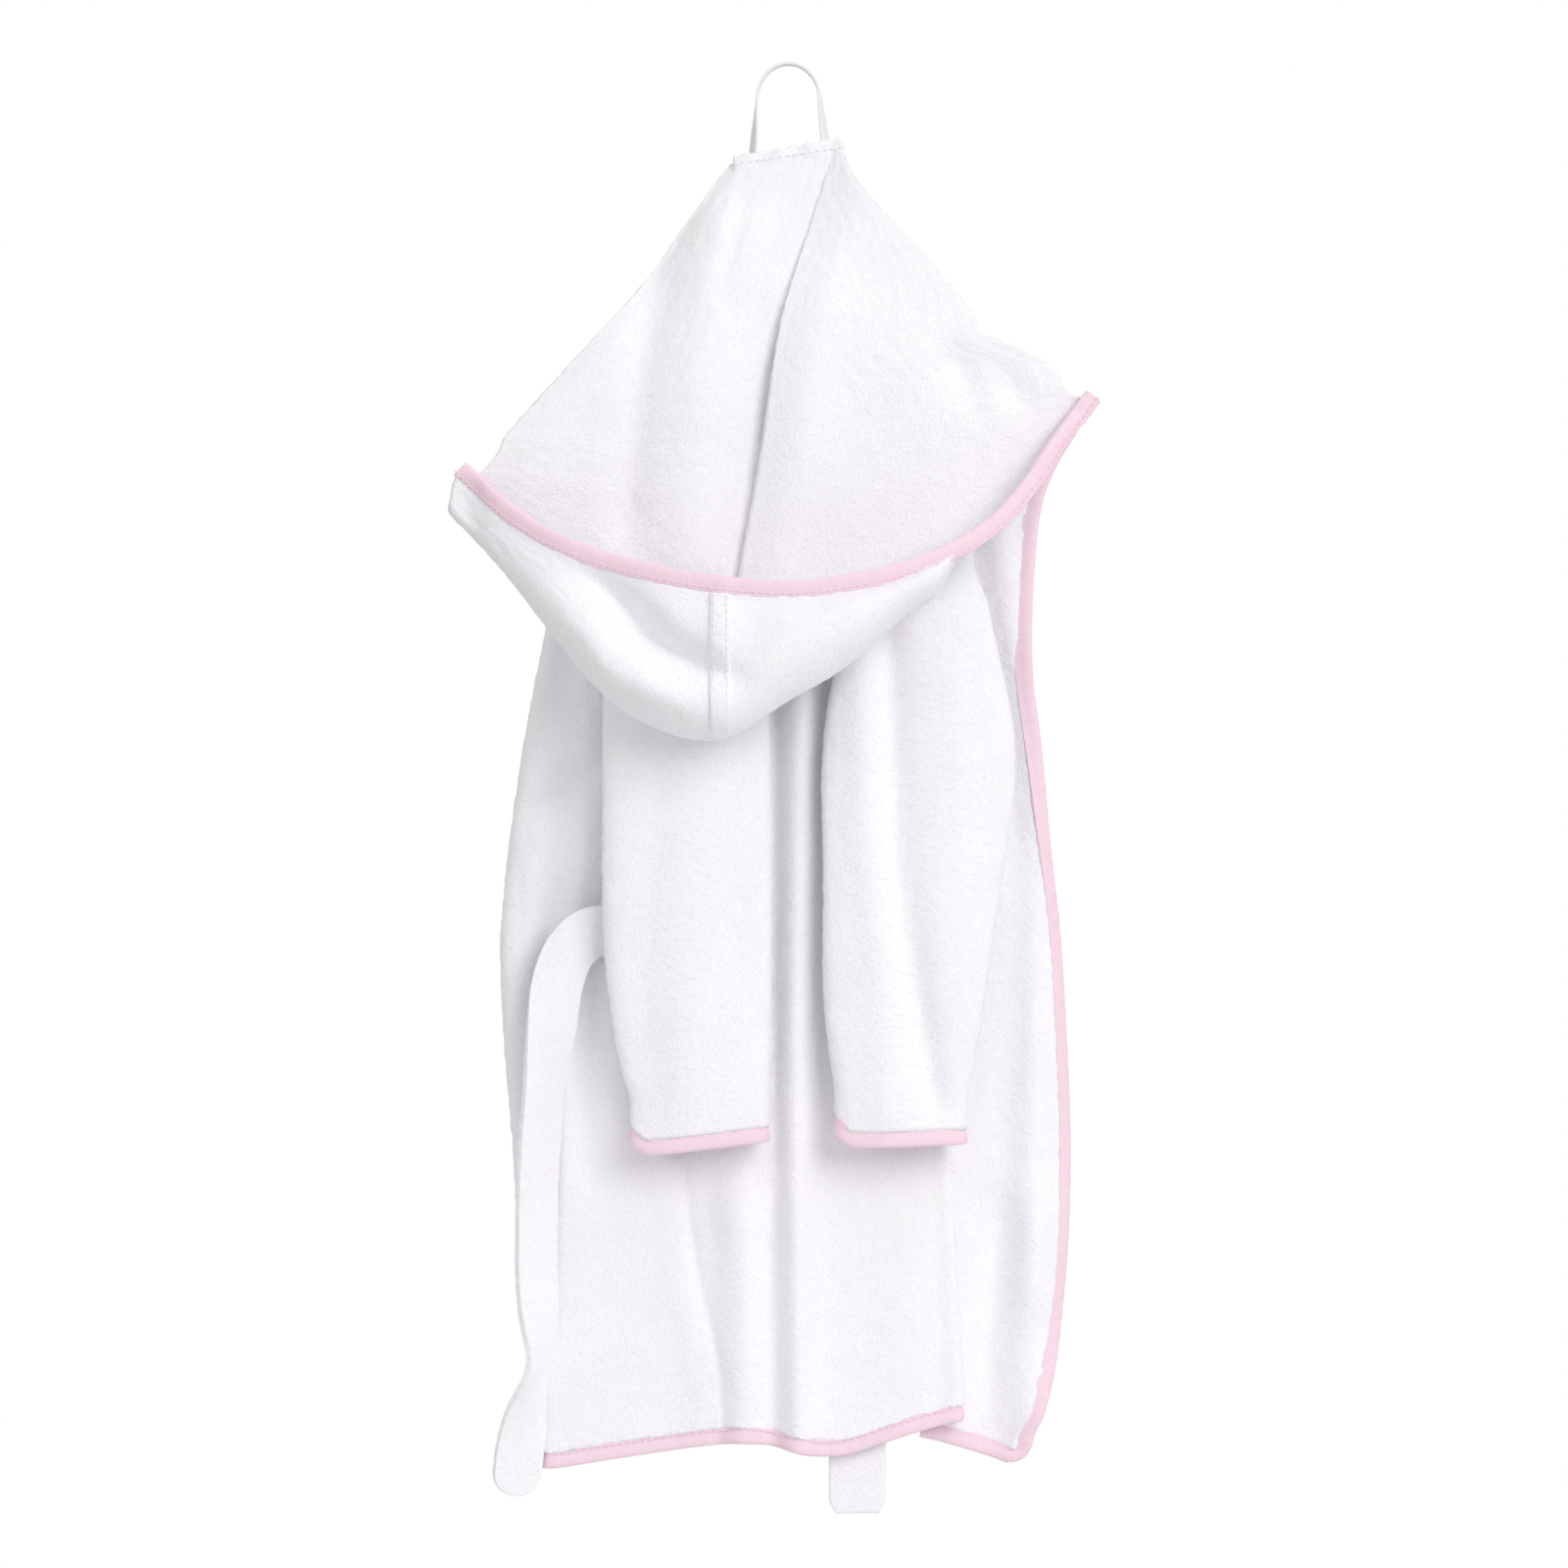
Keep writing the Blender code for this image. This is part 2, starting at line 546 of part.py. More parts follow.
def right_tie(pivot):
    """Hangs straight down behind the back panel, its end below the hem."""
    points = [(RIGHT_TIE_X, RIGHT_TIE_Y, TIE_SEAM_Z - RIGHT_TIE_DROP * t) for t in np.linspace(0, 1, 14)]
    shares = [1.0] * 13 + [0.76]
    points[-2] = (RIGHT_TIE_X, RIGHT_TIE_Y, TIE_SEAM_Z - RIGHT_TIE_DROP + 0.004)
    strip("right_tie", points, TIE_WIDTH, TIE_THICKNESS, WHITE, pivot, roughness=0.95, ends=shares)


# ---------------------------------------------------------------- assembly

def main():
    clear_scene()
    hanger_loop()
    neck_seam()
    back_panel()
    hood_nape()
    hood_crown(axis_empty("hood_axis", (0, HOOD_Y, fold_line(0))))
    sleeve("left", LEFT_SLEEVE, 0.05, axis_empty("left_sleeve_axis", (LEFT_PIVOT_X, SLEEVE_Y, SLEEVE_PIVOT_Z)))
    sleeve("right", RIGHT_SLEEVE, 0.0, axis_empty("right_sleeve_axis", (RIGHT_PIVOT_X, SLEEVE_Y, SLEEVE_PIVOT_Z)))
    right_front(axis_empty("right_front_axis", (SIDE_SEAM, FRONT_Y, NAPE_Z)))
    left_front(axis_empty("left_front_axis", (-SIDE_SEAM, FRONT_Y, NAPE_Z)))
    left_tie(axis_empty("left_tie_axis", (-SIDE_SEAM, LEFT_TIE_Y, TIE_SEAM_Z)))
    right_tie(axis_empty("right_tie_axis", (RIGHT_TIE_X, RIGHT_TIE_Y, TIE_SEAM_Z)))


main()
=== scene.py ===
# %% [markdown]
# # A hooded terry robe for a baby
#
# The robe hangs by its loop with its back to us. Its hood hangs down over the back as an open pocket, its
# two sleeves hang in front of the back panel, and its two fronts are folded open to the sides. Everything
# is cotton: white loop-pile terry, pink jersey binding on the raw edges, and a white twill tape for the
# loop.
#
# The imported model is the frame. It is loaded first, and the outlines and places below are read from it, so
# that the cloth lies where the frame's solids lie. Its box is kept and printed.

# %% The frame
import json
import math

import bpy
import numpy as np
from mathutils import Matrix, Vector


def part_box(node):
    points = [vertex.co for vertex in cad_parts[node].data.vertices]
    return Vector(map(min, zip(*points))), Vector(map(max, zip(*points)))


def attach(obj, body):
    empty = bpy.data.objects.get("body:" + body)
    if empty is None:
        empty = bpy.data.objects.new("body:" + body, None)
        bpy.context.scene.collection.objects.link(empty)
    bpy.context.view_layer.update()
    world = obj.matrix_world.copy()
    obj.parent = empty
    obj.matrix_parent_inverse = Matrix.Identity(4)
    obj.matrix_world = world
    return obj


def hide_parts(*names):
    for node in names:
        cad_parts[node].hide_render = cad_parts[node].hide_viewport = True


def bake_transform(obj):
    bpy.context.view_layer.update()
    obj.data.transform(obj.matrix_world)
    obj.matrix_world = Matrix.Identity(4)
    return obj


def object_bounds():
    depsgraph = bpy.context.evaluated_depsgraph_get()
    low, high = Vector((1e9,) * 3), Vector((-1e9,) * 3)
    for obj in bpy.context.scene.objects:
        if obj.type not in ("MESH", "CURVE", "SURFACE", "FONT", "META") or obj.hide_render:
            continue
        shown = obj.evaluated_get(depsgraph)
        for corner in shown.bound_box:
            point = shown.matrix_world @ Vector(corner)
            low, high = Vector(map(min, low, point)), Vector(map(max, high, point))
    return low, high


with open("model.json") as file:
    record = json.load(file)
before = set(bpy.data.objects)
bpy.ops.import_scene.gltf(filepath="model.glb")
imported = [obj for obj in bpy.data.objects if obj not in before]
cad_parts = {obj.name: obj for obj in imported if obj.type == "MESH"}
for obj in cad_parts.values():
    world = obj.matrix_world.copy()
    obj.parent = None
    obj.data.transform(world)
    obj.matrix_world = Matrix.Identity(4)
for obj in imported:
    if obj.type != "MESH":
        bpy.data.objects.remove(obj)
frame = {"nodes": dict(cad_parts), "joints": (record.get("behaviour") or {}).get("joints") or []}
frame_box = [list(corner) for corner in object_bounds()]
bpy.ops.object.select_all(action="DESELECT")
print("frame box, millimetres:", [[round(v * 1000, 1) for v in corner] for corner in frame_box])

# %% [markdown]
# ## Camera, light and floor
#
# Soft white cloth on white shows its shape only through slow changes of tone. Light from everywhere at once
# would wash those out, because white folds light each other up. So the room gives only part of the light,
# and less from below than from above. One large soft lamp on the right gives the rest: each fold then has a
# lit and a shaded flank. A weak lamp fills in from the left. The camera stands square to the back, far off
# with a long lens, so that nothing looks stretched.

# %% Camera
PICTURE_HEIGHT = 0.698
CAMERA_DISTANCE = 3.0
SENSOR = 36.0
MARGIN_ABOVE = 0.026

low, high = (Vector(corner) for corner in frame_box)
centre = Vector((-0.002, 0.0, MARGIN_ABOVE - PICTURE_HEIGHT / 2))
bpy.ops.object.camera_add(location=centre - Vector((0, CAMERA_DISTANCE, 0)), rotation=(math.pi / 2, 0, 0))
camera = bpy.context.active_object
camera.name = "camera"
camera.data.sensor_width = SENSOR
camera.data.lens = SENSOR * (CAMERA_DISTANCE + (low.y + high.y) / 2) / PICTURE_HEIGHT
bpy.context.scene.camera = camera
print("camera:", round(camera.data.lens), "mm lens,", CAMERA_DISTANCE, "m away")


# %% Lamps
def lamp(name, place, size, power, colour):
    """A square soft lamp that faces the middle of the robe."""
    bpy.ops.object.light_add(type="AREA", location=place)
    made = bpy.context.active_object
    made.name = name
    made.data.size = size
    made.data.energy = power
    made.data.color = colour
    made.rotation_mode = "QUATERNION"
    made.rotation_quaternion = (centre - made.location).to_track_quat("-Z", "Y")


lamp("key_lamp", (1.2, -1.8, 0.6), 1.4, 25, (1.0, 0.99, 1.0))
lamp("fill_lamp", (-1.7, -1.6, 0.6), 1.2, 3.5, (0.98, 0.98, 1.0))
lamp("back_lamp", (0.6, 2.0, 0.9), 1.2, 9.0, (1.0, 0.99, 1.0))

print("lamps:", ", ".join(f"{light.name} {light.energy:.0f} W" for light in bpy.data.lights))


# %% The room's light
def node(owner, kind, inputs=(), **settings):
    """Adds a shader node to a material or the world; inputs are (socket, value or output) pairs."""
    made = owner.node_tree.nodes.new("ShaderNode" + kind)
    for key, value in settings.items():
        setattr(made, key, value)
    for socket, value in inputs:
        if isinstance(value, bpy.types.NodeSocket):
            plug(owner, value, made.inputs[socket])
        else:
            made.inputs[socket].default_value = value
    return made


def plug(owner, output, socket):
    owner.node_tree.links.new(output, socket)


LIGHT_ABOVE = 0.8064     # strength of the room's light from straight above
LIGHT_BELOW = 0.3024     # and from straight below
room = bpy.data.worlds.new("room")
room.use_nodes = True
bpy.context.scene.world = room
direction = node(room, "TexCoord")
parts = node(room, "SeparateXYZ", [("Vector", direction.outputs["Generated"])])
strength = node(room, "MapRange", [("Value", parts.outputs["Z"]), ("From Min", -1.0), ("To Min", LIGHT_BELOW),
                                   ("To Max", LIGHT_ABOVE)])
sky = room.node_tree.nodes["Background"]
sky.inputs["Color"].default_value = (1.0, 0.995, 1.0, 1.0)
plug(room, strength.outputs["Result"], sky.inputs["Strength"])
backdrop = node(room, "Background", [("Color", (1.0, 1.0, 1.0, 1.0)), ("Strength", 1.0)])
seen = node(room, "LightPath")
choose = node(room, "MixShader", [("Fac", seen.outputs["Is Camera Ray"]), (1, sky.outputs["Background"]),
                                  (2, backdrop.outputs["Background"])])
plug(room, choose.outputs["Shader"], room.node_tree.nodes["World Output"].inputs["Surface"])
bpy.context.scene.view_settings.view_transform = "Standard"
print("room light from", LIGHT_BELOW, "below to", LIGHT_ABOVE, "above")

# %% The floor
FLOOR_DROP = 0.22
bpy.ops.mesh.primitive_circle_add(vertices=96, radius=1.0, fill_type="NGON",
                                  location=(0, 0, low.z - FLOOR_DROP))
floor = bpy.context.active_object
floor.name = "floor"
floor_paint = bpy.data.materials.new("floor_paint")
floor_paint.use_nodes = True
floor_paint.node_tree.nodes["Principled BSDF"].inputs["Base Color"].default_value = (0.8, 0.8, 0.8, 1)
floor_paint.node_tree.nodes["Principled BSDF"].inputs["Roughness"].default_value = 0.8
floor.data.materials.append(floor_paint)
print("floor", round(FLOOR_DROP * 1000), "mm below the hem")

# %% [markdown]
# ## Reading the frame
#
# The cloth has to follow the frame's outlines, so this helper cuts a node with a plane and says how far its
# solid reaches there. With it an outline is a list of measured places, and smoothing that list gives a
# drawn line.


# %% Measuring a node
def edges_of(node):
    """The two end points of every mesh edge of a node, as two arrays."""
    mesh = frame["nodes"][node].data
    points = np.array([v.co for v in mesh.vertices])
    ends = np.array([tuple(e.vertices) for e in mesh.edges])
    return points[ends[:, 0]], points[ends[:, 1]]


def reach(nodes, cut_axis, places, along, side):
    """How far the nodes reach along an axis, where planes at the places cut them; side is min or max."""
    starts, stops = zip(*(edges_of(node) for node in nodes))
    a, b = np.concatenate(starts), np.concatenate(stops)
    found = []
    for place in places:
        crossing = (a[:, cut_axis] - place) * (b[:, cut_axis] - place) <= 0
        p, q = a[crossing], b[crossing]
        if len(p) == 0:
            found.append(np.nan)
            continue
        span = q[:, cut_axis] - p[:, cut_axis]
        share = np.where(abs(span) < 1e-9, 0, (place - p[:, cut_axis]) / np.where(abs(span) < 1e-9, 1, span))
        found.append(side(p[:, along] + share * (q[:, along] - p[:, along])))
    found = np.array(found)
    known = ~np.isnan(found)
    return np.interp(places, places[known], found[known])


def smoothed(values, times=2):
    """A measured line with its small corners rounded off; its two ends stay."""
    for _ in range(times):
        values = np.concatenate([values[:1], (values[:-2] + 2 * values[1:-1] + values[2:]) / 4, values[-1:]])
    return values


def line(nodes, cut_axis, first, last, along, side, count=60):
    """A smooth outline as a function of the place along cut_axis."""
    places = np.linspace(first, last, count)
    values = smoothed(reach(nodes, cut_axis, places, along, side))
    return lambda at: np.interp(at, places, values)


def joint(name):
    """The frame's joint of this name."""
    return next(each for each in frame["joints"] if each["name"] == name)


X, Y, Z = 0, 1, 2
nape_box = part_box("neck_seam")
print("nape seam from", [round(v * 1000) for v in nape_box[0]], "to", [round(v * 1000) for v in nape_box[1]])

# %% [markdown]
# ## Bending flat cloth
#
# Hanging cloth can be simulated, but these folds have to fall in certain places, and a solver decides that
# for itself. So each piece starts as a flat grid, as a cutter would lay it out, and each of its points is
# moved to where the draped cloth has it. Folds and dents are then added as soft valleys along a line or
# about a point.


# %% Folds and dents
def mix(a, b, t):
    return a + (b - a) * t


def ease(t):
    """From 0 to 1 with a soft start and end."""
    t = np.clip(t, 0, 1)
    return t * t * (3 - 2 * t)


def drawn(points, at):
    """A smooth line through a few points of rising first coordinate."""
    xs, ys = np.array(points, float).T
    slopes = np.gradient(ys, xs)
    i = np.clip(np.searchsorted(xs, at) - 1, 0, len(xs) - 2)
    span = xs[i + 1] - xs[i]
    t = np.clip((at - xs[i]) / span, 0, 1)
    return ((2 * t ** 3 - 3 * t ** 2 + 1) * ys[i] + (t ** 3 - 2 * t ** 2 + t) * span * slopes[i]
            + (3 * t ** 2 - 2 * t ** 3) * ys[i + 1] + (t ** 3 - t ** 2) * span * slopes[i + 1])


def fold(x, z, route, width, depth):
    """A valley down a route of (drop, x) points, which fades at both ends."""
    drop = -z
    first, last = route[0][0], route[-1][0]
    fade = ease((drop - first) / 0.03 + 0.5) * ease((last - drop) / 0.03 + 0.5)
    return depth * fade * np.exp(-((x - drawn(route, drop)) / width) ** 2)


def dent(x, z, place, size, turn, depth):
    """A soft hollow about a place (x, drop), with its size along and across a line turned by some degrees."""
    dx, dz = x - place[0], z + place[1]
    c, s = math.cos(math.radians(turn)), math.sin(math.radians(turn))
    along, across = dx * c + dz * s, dz * c - dx * s
    return depth * np.exp(-(along / size[0]) ** 2 - (across / size[1]) ** 2)


def waves(x, z, length, height, seed):
    """Slow, uneven waves that cloth has everywhere, from a few sines in different directions."""
    draw = np.random.default_rng(seed)
    total = np.zeros_like(x)
    for _ in range(7):
        turn, shift = draw.uniform(0, math.tau, 2)
        run = x * math.cos(turn) + z * math.sin(turn) * 0.55
        total += np.sin(run * math.tau / (length * draw.uniform(0.6, 1.6)) + shift)
    return total * height / 7 ** 0.5


# %% [markdown]
# A grid becomes a cloth in four steps: its points are moved, the Solidify modifier gives it the thickness
# of terry, a small bevel rounds the cut edge, and a fine Displace pushes its surface in and out by the
# height of the loops, so that the outline of the cloth is ragged as the outline of terry is.

# %% Thickness and loops
TERRY = 0.003
LOOP = 0.0019         # distance between neighbouring points of a cloth, about that of its loops
LOOP_HEIGHT = 0.0010
CUT_ANGLE = math.radians(65)     # edges sharper than this are cut edges, which get rounded

loop_noise = bpy.data.textures.new("loop_noise", "CLOUDS")
loop_noise.noise_scale = 0.0034
loop_noise.noise_depth = 1


def only(piece):
    """Makes a piece the one that is selected and active."""
    bpy.ops.object.select_all(action="DESELECT")
    piece.select_set(True)
    bpy.context.view_layer.objects.active = piece


def modify(piece, kind, **settings):
    """Adds a modifier with these settings and applies it."""
    only(piece)
    modifier = piece.modifiers.new(kind.lower(), kind)
    for key, value in settings.items():
        setattr(modifier, key, value)
    bpy.ops.object.modifier_apply(modifier=modifier.name)


def tidy(piece, merge=1e-5):
    """Merges doubled points and turns all faces outwards."""
    only(piece)
    bpy.ops.object.mode_set(mode="EDIT")
    bpy.ops.mesh.select_all(action="SELECT")
    bpy.ops.mesh.remove_doubles(threshold=merge)
    bpy.ops.mesh.normals_make_consistent(inside=False)
    bpy.ops.object.mode_set(mode="OBJECT")


def placed_grid(name, columns, rows, across, down, place):
    """A grid whose points are moved to place(u, v), with its UV map in metres of flat cloth."""
    bpy.ops.object.select_all(action="DESELECT")
    bpy.ops.mesh.primitive_grid_add(x_subdivisions=columns, y_subdivisions=rows, size=2)
    piece = bpy.context.active_object
    piece.name = piece.data.name = name
    flat = np.empty(len(piece.data.vertices) * 3)
    piece.data.vertices.foreach_get("co", flat)
    u, v = (flat[0::3] + 1) / 2, (1 - flat[1::3]) / 2
    piece.data.vertices.foreach_set("co", np.asarray(place(u, v)).ravel())
    piece.data.update()
    layer = piece.data.uv_layers.active.uv
    cloth_map = np.empty(len(layer) * 2)
    layer.foreach_get("vector", cloth_map)
    layer.foreach_set("vector", (cloth_map.reshape(-1, 2) * (across, down)).ravel())
    return piece


def surface_area(piece):
    """The area of a piece's faces, in square metres."""
    return sum(face.area for face in piece.data.polygons)


def round_edges(piece, width, segments):
    modify(piece, "BEVEL", width=width, segments=segments, limit_method="ANGLE", angle_limit=CUT_ANGLE)


def thicken(piece, thickness, rounding, segments, loop_height):
    """Gives a sheet of terry its thickness, its rounded edges and its loops."""
    modify(piece, "SOLIDIFY", thickness=thickness, offset=0.0, use_even_offset=False,
           use_quality_normals=True)
    round_edges(piece, thickness * rounding, segments)
    tidy(piece)
    modify(piece, "DISPLACE", texture=loop_noise, texture_coords="LOCAL", strength=loop_height, mid_level=0.5)
    bpy.ops.object.shade_smooth()


def terry_cloth(name, across, down, place, thickness=TERRY, tube=False):
    """A finished sheet of terry, and the area of its flat cut. A tube's two sides are joined."""
    piece = placed_grid(name, max(4, round(across / LOOP)), max(4, round(down / LOOP)), across, down, place)
    if tube:
        tidy(piece)
    area = surface_area(piece)
    thicken(piece, thickness, 0.3, 2, LOOP_HEIGHT)
    print(f"{name}: {len(piece.data.polygons)} faces, cut area {area * 1e4:.0f} square centimetres")
    return piece, area

# %% [markdown]
# ## Finishes
#
# Terry is a field of small loops in rows. A loop is about a millimetre wide, so it is a bump, and its colour
# is darkened between the loops as painted shade, while the folds are real shape. The rows have to bend with the
# cloth, so the pattern reads the UV map, which is set in metres of flat cloth. Cotton fibres standing off the
# surface catch light at its rim: that is the sheen.


# %% Building a finish
def finish_named(name, colour, roughness, sheen):
    """A new material with its plain values set on the shader's own sockets."""
    made = bpy.data.materials.new(name)
    made.use_nodes = True
    shader = made.node_tree.nodes["Principled BSDF"]
    shader.inputs["Base Color"].default_value = (*colour, 1)
    shader.inputs["Roughness"].default_value = roughness
    shader.inputs["Specular IOR Level"].default_value = 0.2
    shader.inputs["Sheen Weight"].default_value = sheen
    shader.inputs["Sheen Roughness"].default_value = 0.45
    made.diffuse_color = (*colour, 1)
    return made, shader


def patchy(material, cloth_map, scale, detail):
    """Noise that is fixed to the piece, for what differs from place to place."""
    return node(material, "TexNoise", [("Vector", cloth_map.outputs["Object"]), ("Scale", scale),
                                       ("Detail", detail)])


def tinted(material, shader, share, dark, light):
    """Colours a finish between two tones, by a share from 0 to 1."""
    ramp = node(material, "MixRGB", [("Fac", share), ("Color1", (*dark, 1)), ("Color2", (*light, 1))])
    plug(material, ramp.outputs["Color"], shader.inputs["Base Color"])


# %% Terry
LOOP_WIDTH = 0.0013
ROW_HEIGHT = 0.0017
WHITE_TERRY = (0.948, 0.937, 0.962)
# SHADED_TERRY is painted shade: the colour the terry is given in the hollows between its loops.
SHADED_TERRY = (0.905, 0.882, 0.918)


def terry_finish():
    made, shader = finish_named("terry_loops", WHITE_TERRY, 0.95, 0.25)
    cloth_map = node(made, "TexCoord")
    scaled = node(made, "Mapping", [("Vector", cloth_map.outputs["UV"]),
                                    ("Scale", (1 / LOOP_WIDTH, 1 / ROW_HEIGHT, 1))])
    loops = node(made, "TexVoronoi", [("Vector", scaled.outputs["Vector"]), ("Scale", 1.0),
                                      ("Randomness", 0.75)], voronoi_dimensions="2D", feature="SMOOTH_F1")
    height = node(made, "MapRange", [("Value", loops.outputs["Distance"]), ("From Min", 0.05),
                                     ("From Max", 0.75), ("To Min", 1.0), ("To Max", 0.0)])
    uneven = patchy(made, cloth_map, 420.0, 3.0)
    both = node(made, "Math", [(0, height.outputs["Result"]), (1, uneven.outputs["Fac"])], operation="ADD")
    bump = node(made, "Bump", [("Height", both.outputs["Value"]), ("Distance", 0.00045), ("Strength", 0.45)])
    plug(made, bump.outputs["Normal"], shader.inputs["Normal"])
    patches = patchy(made, cloth_map, 45.0, 2.0)
    tone = node(made, "Math", [(0, height.outputs["Result"]), (1, patches.outputs["Fac"])],
                operation="MULTIPLY")
    share = node(made, "MapRange", [("Value", tone.outputs["Value"]), ("From Min", 0.0), ("From Max", 0.32)])
    # The colour goes towards SHADED_TERRY between the loops: painted shade, which also varies at random in
    # patches.
    tinted(made, shader, share.outputs["Result"], SHADED_TERRY, WHITE_TERRY)
    return made


terry = terry_finish()
print("terry loops every", LOOP_WIDTH * 1000, "by", ROW_HEIGHT * 1000, "mm")

# %% [markdown]
# The binding is a strip of fine jersey. Its knit shows as tiny ribs across the strip, too fine for mesh.
# The tape is a twill, whose ribs run slantwise. Both patterns are waves along the strip's own UV map, which
# bump the surface and darken its colour between the ribs as painted shade.


# %% Jersey, twill and thread
WAVE_LENGTH = 0.314      # metres between the ribs of a Wave texture of scale 1


def ribbed_finish(name, colour, shade, rib, slant, depth):
    """A finish with ribs every so many metres of its UV map, turned by some degrees."""
    made, shader = finish_named(name, colour, 0.85, 0.2)
    cloth_map = node(made, "TexCoord")
    turned = node(made, "Mapping", [("Vector", cloth_map.outputs["UV"]),
                                    ("Rotation", (0, 0, math.radians(slant)))])
    ribs = node(made, "TexWave", [("Vector", turned.outputs["Vector"]), ("Scale", WAVE_LENGTH / rib),
                                  ("Distortion", 1.4), ("Detail", 2.0), ("Detail Scale", 3.0)],
                bands_direction="Y")
    bump = node(made, "Bump", [("Height", ribs.outputs["Fac"]), ("Distance", depth), ("Strength", 0.6)])
    plug(made, bump.outputs["Normal"], shader.inputs["Normal"])
    patches = patchy(made, cloth_map, 160.0, 3.0)
    share = node(made, "Math", [(0, ribs.outputs["Fac"]), (1, patches.outputs["Fac"]), (2, 0.25)],
                 operation="MULTIPLY_ADD")
    # Between the ribs the colour goes to shade: painted shade, which also varies at random in patches.
    tinted(made, shader, share.outputs["Value"], shade, colour)
    return made


# The second colour of each ribbed finish below is painted shade, laid between its ribs.
PINK = (0.955, 0.765, 0.845)
SHADED_PINK = (0.90, 0.66, 0.76)
jersey = ribbed_finish("jersey_binding", PINK, SHADED_PINK, 0.0011, 8, 0.00018)
twill = ribbed_finish("twill_tape", (0.93, 0.925, 0.92), (0.84, 0.835, 0.83), 0.0012, 45, 0.00016)
pink_thread, _ = finish_named("pink_thread", (0.92, 0.69, 0.79), 0.6, 0.1)
white_thread, _ = finish_named("white_thread", (0.89, 0.875, 0.90), 0.6, 0.1)
print("finishes:", ", ".join(each.name for each in (terry, jersey, twill, pink_thread, white_thread)))


# %% Putting a piece in the frame
def wear(piece, material, nodes=()):
    """Gives a piece its finish and the frame's nodes that it stands for."""
    piece.data.materials.clear()
    piece.data.materials.append(material)
    if nodes:
        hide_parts(*nodes)
    return piece


# %% [markdown]
# ## Bindings and stitches
#
# A binding is a strip folded over a raw edge and sewn down along its inner side. A flat ribbon would look
# like paper, so its section is drawn: thick and round where it folds over the cloth's edge, and pressed
# thin along the row of stitches. The section is swept along the edge, and small puckers run along it, as
# they do on bias strip.

# %% A binding along an edge
BINDING_WIDTH = 0.0082
BINDING_POINTS = 18
BINDING_STEP = 0.0022


def unit(vectors):
    return vectors / np.linalg.norm(vectors, axis=1, keepdims=True)


def along(path, step):
    """A path with a point every step, and its unit tangents."""
    path = np.array(path, float)
    run = np.concatenate([[0], np.cumsum(np.linalg.norm(np.diff(path, axis=0), axis=1))])
    places = np.linspace(0, run[-1], max(3, round(run[-1] / step) + 1))
    even = np.stack([smoothed(np.interp(places, run, path[:, k])) for k in range(3)], 1)
    return even, unit(np.gradient(even, axis=0)), places


def binding_section(width, thickness):
    """Points round a binding's section: (towards the fold, through the cloth)."""
    around = np.linspace(0, math.tau, BINDING_POINTS + 1)
    out = np.cos(around)
    half = thickness / 2 * (0.8 - 0.24 * np.exp(-((out + 0.55) / 0.22) ** 2) + 0.2 * ease((out + 0.2) / 0.9))
    return out * width / 2, np.sign(np.sin(around)) * half * abs(np.sin(around)) ** 0.45


def binding(name, path, outward, thickness, node_name, body, closed=False, seed=1):
    """A bound edge along a path; outward points from the cloth over its edge.

    It gives back the piece, the line of its stitches and the direction through the cloth.
    """
    even, tangent, places = along(path, BINDING_STEP)
    if closed:
        tangent[0] = tangent[-1] = (tangent[0] + tangent[-1]) / 2
    outward = np.array(outward, float)
    if outward.ndim == 1:
        outward = np.tile(outward, (len(even), 1))
    else:
        given, wanted = np.linspace(0, 1, len(outward)), np.linspace(0, 1, len(even))
        outward = np.stack([np.interp(wanted, given, outward[:, k]) for k in range(3)], 1)
    outward = unit(outward - (outward * tangent).sum(1, keepdims=True) * tangent)
    through = np.cross(tangent, outward)
    a, b = binding_section(BINDING_WIDTH, thickness)
    draw = np.random.default_rng(seed)
    pucker = np.sin(places * math.tau / 0.0075 + 2.5 * np.sin(places * math.tau / 0.061 + draw.uniform(0, 6)))
    if closed:
        pucker *= ease(places / 0.01) * ease((places[-1] - places) / 0.01)

    def place(u, v):
        row = np.rint(v * (len(even) - 1)).astype(int)
        column = np.rint(u * BINDING_POINTS).astype(int)
        plump = 1 + 0.07 * pucker[row] * (a[column] > -0.1 * BINDING_WIDTH)
        return even[row] + outward[row] * a[column, None] + through[row] * (b[column] * plump)[:, None]

    piece = placed_grid(name, BINDING_POINTS, len(even) - 1, BINDING_WIDTH * 2.6, places[-1], place)
    only(piece)
    bpy.ops.object.mode_set(mode="EDIT")
    bpy.ops.mesh.select_all(action="SELECT")
    bpy.ops.mesh.remove_doubles(threshold=1e-6)
    bpy.ops.mesh.select_all(action="DESELECT")
    bpy.ops.mesh.select_non_manifold()
    if not closed:
        bpy.ops.mesh.edge_face_add()
    bpy.ops.mesh.select_all(action="SELECT")
    bpy.ops.mesh.normals_make_consistent(inside=False)
    bpy.ops.object.mode_set(mode="OBJECT")
    bpy.ops.object.shade_smooth_by_angle(angle=math.radians(60))
    wear(piece, jersey, [node_name])
    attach(piece, body)
    print(f"{name}: {places[-1] * 1000:.0f} mm of binding")
    return piece, even - outward * BINDING_WIDTH * 0.28, through


# %% Stitches along a seam
STITCH_LENGTH = 0.0024
STITCH_PITCH = 0.0033
THREAD = 0.00035


def one_stitch():
    """A stitch's points and faces: a thin bead, its two ends sunk in the cloth."""
    bpy.ops.object.select_all(action="DESELECT")
    bpy.ops.mesh.primitive_uv_sphere_add(segments=6, ring_count=5, radius=1)
    model = bpy.context.active_object
    points = np.array([v.co for v in model.data.vertices])
    faces = [tuple(face.vertices) for face in model.data.polygons]
    bpy.data.objects.remove(model)
    return points[:, [2, 0, 1]], faces


stitch_points, stitch_faces = one_stitch()


def both_sides(line_of_stitches, through, height):
    """A row of stitches on each side of the cloth."""
    return [(line_of_stitches + through * height, through), (line_of_stitches - through * height, -through)]


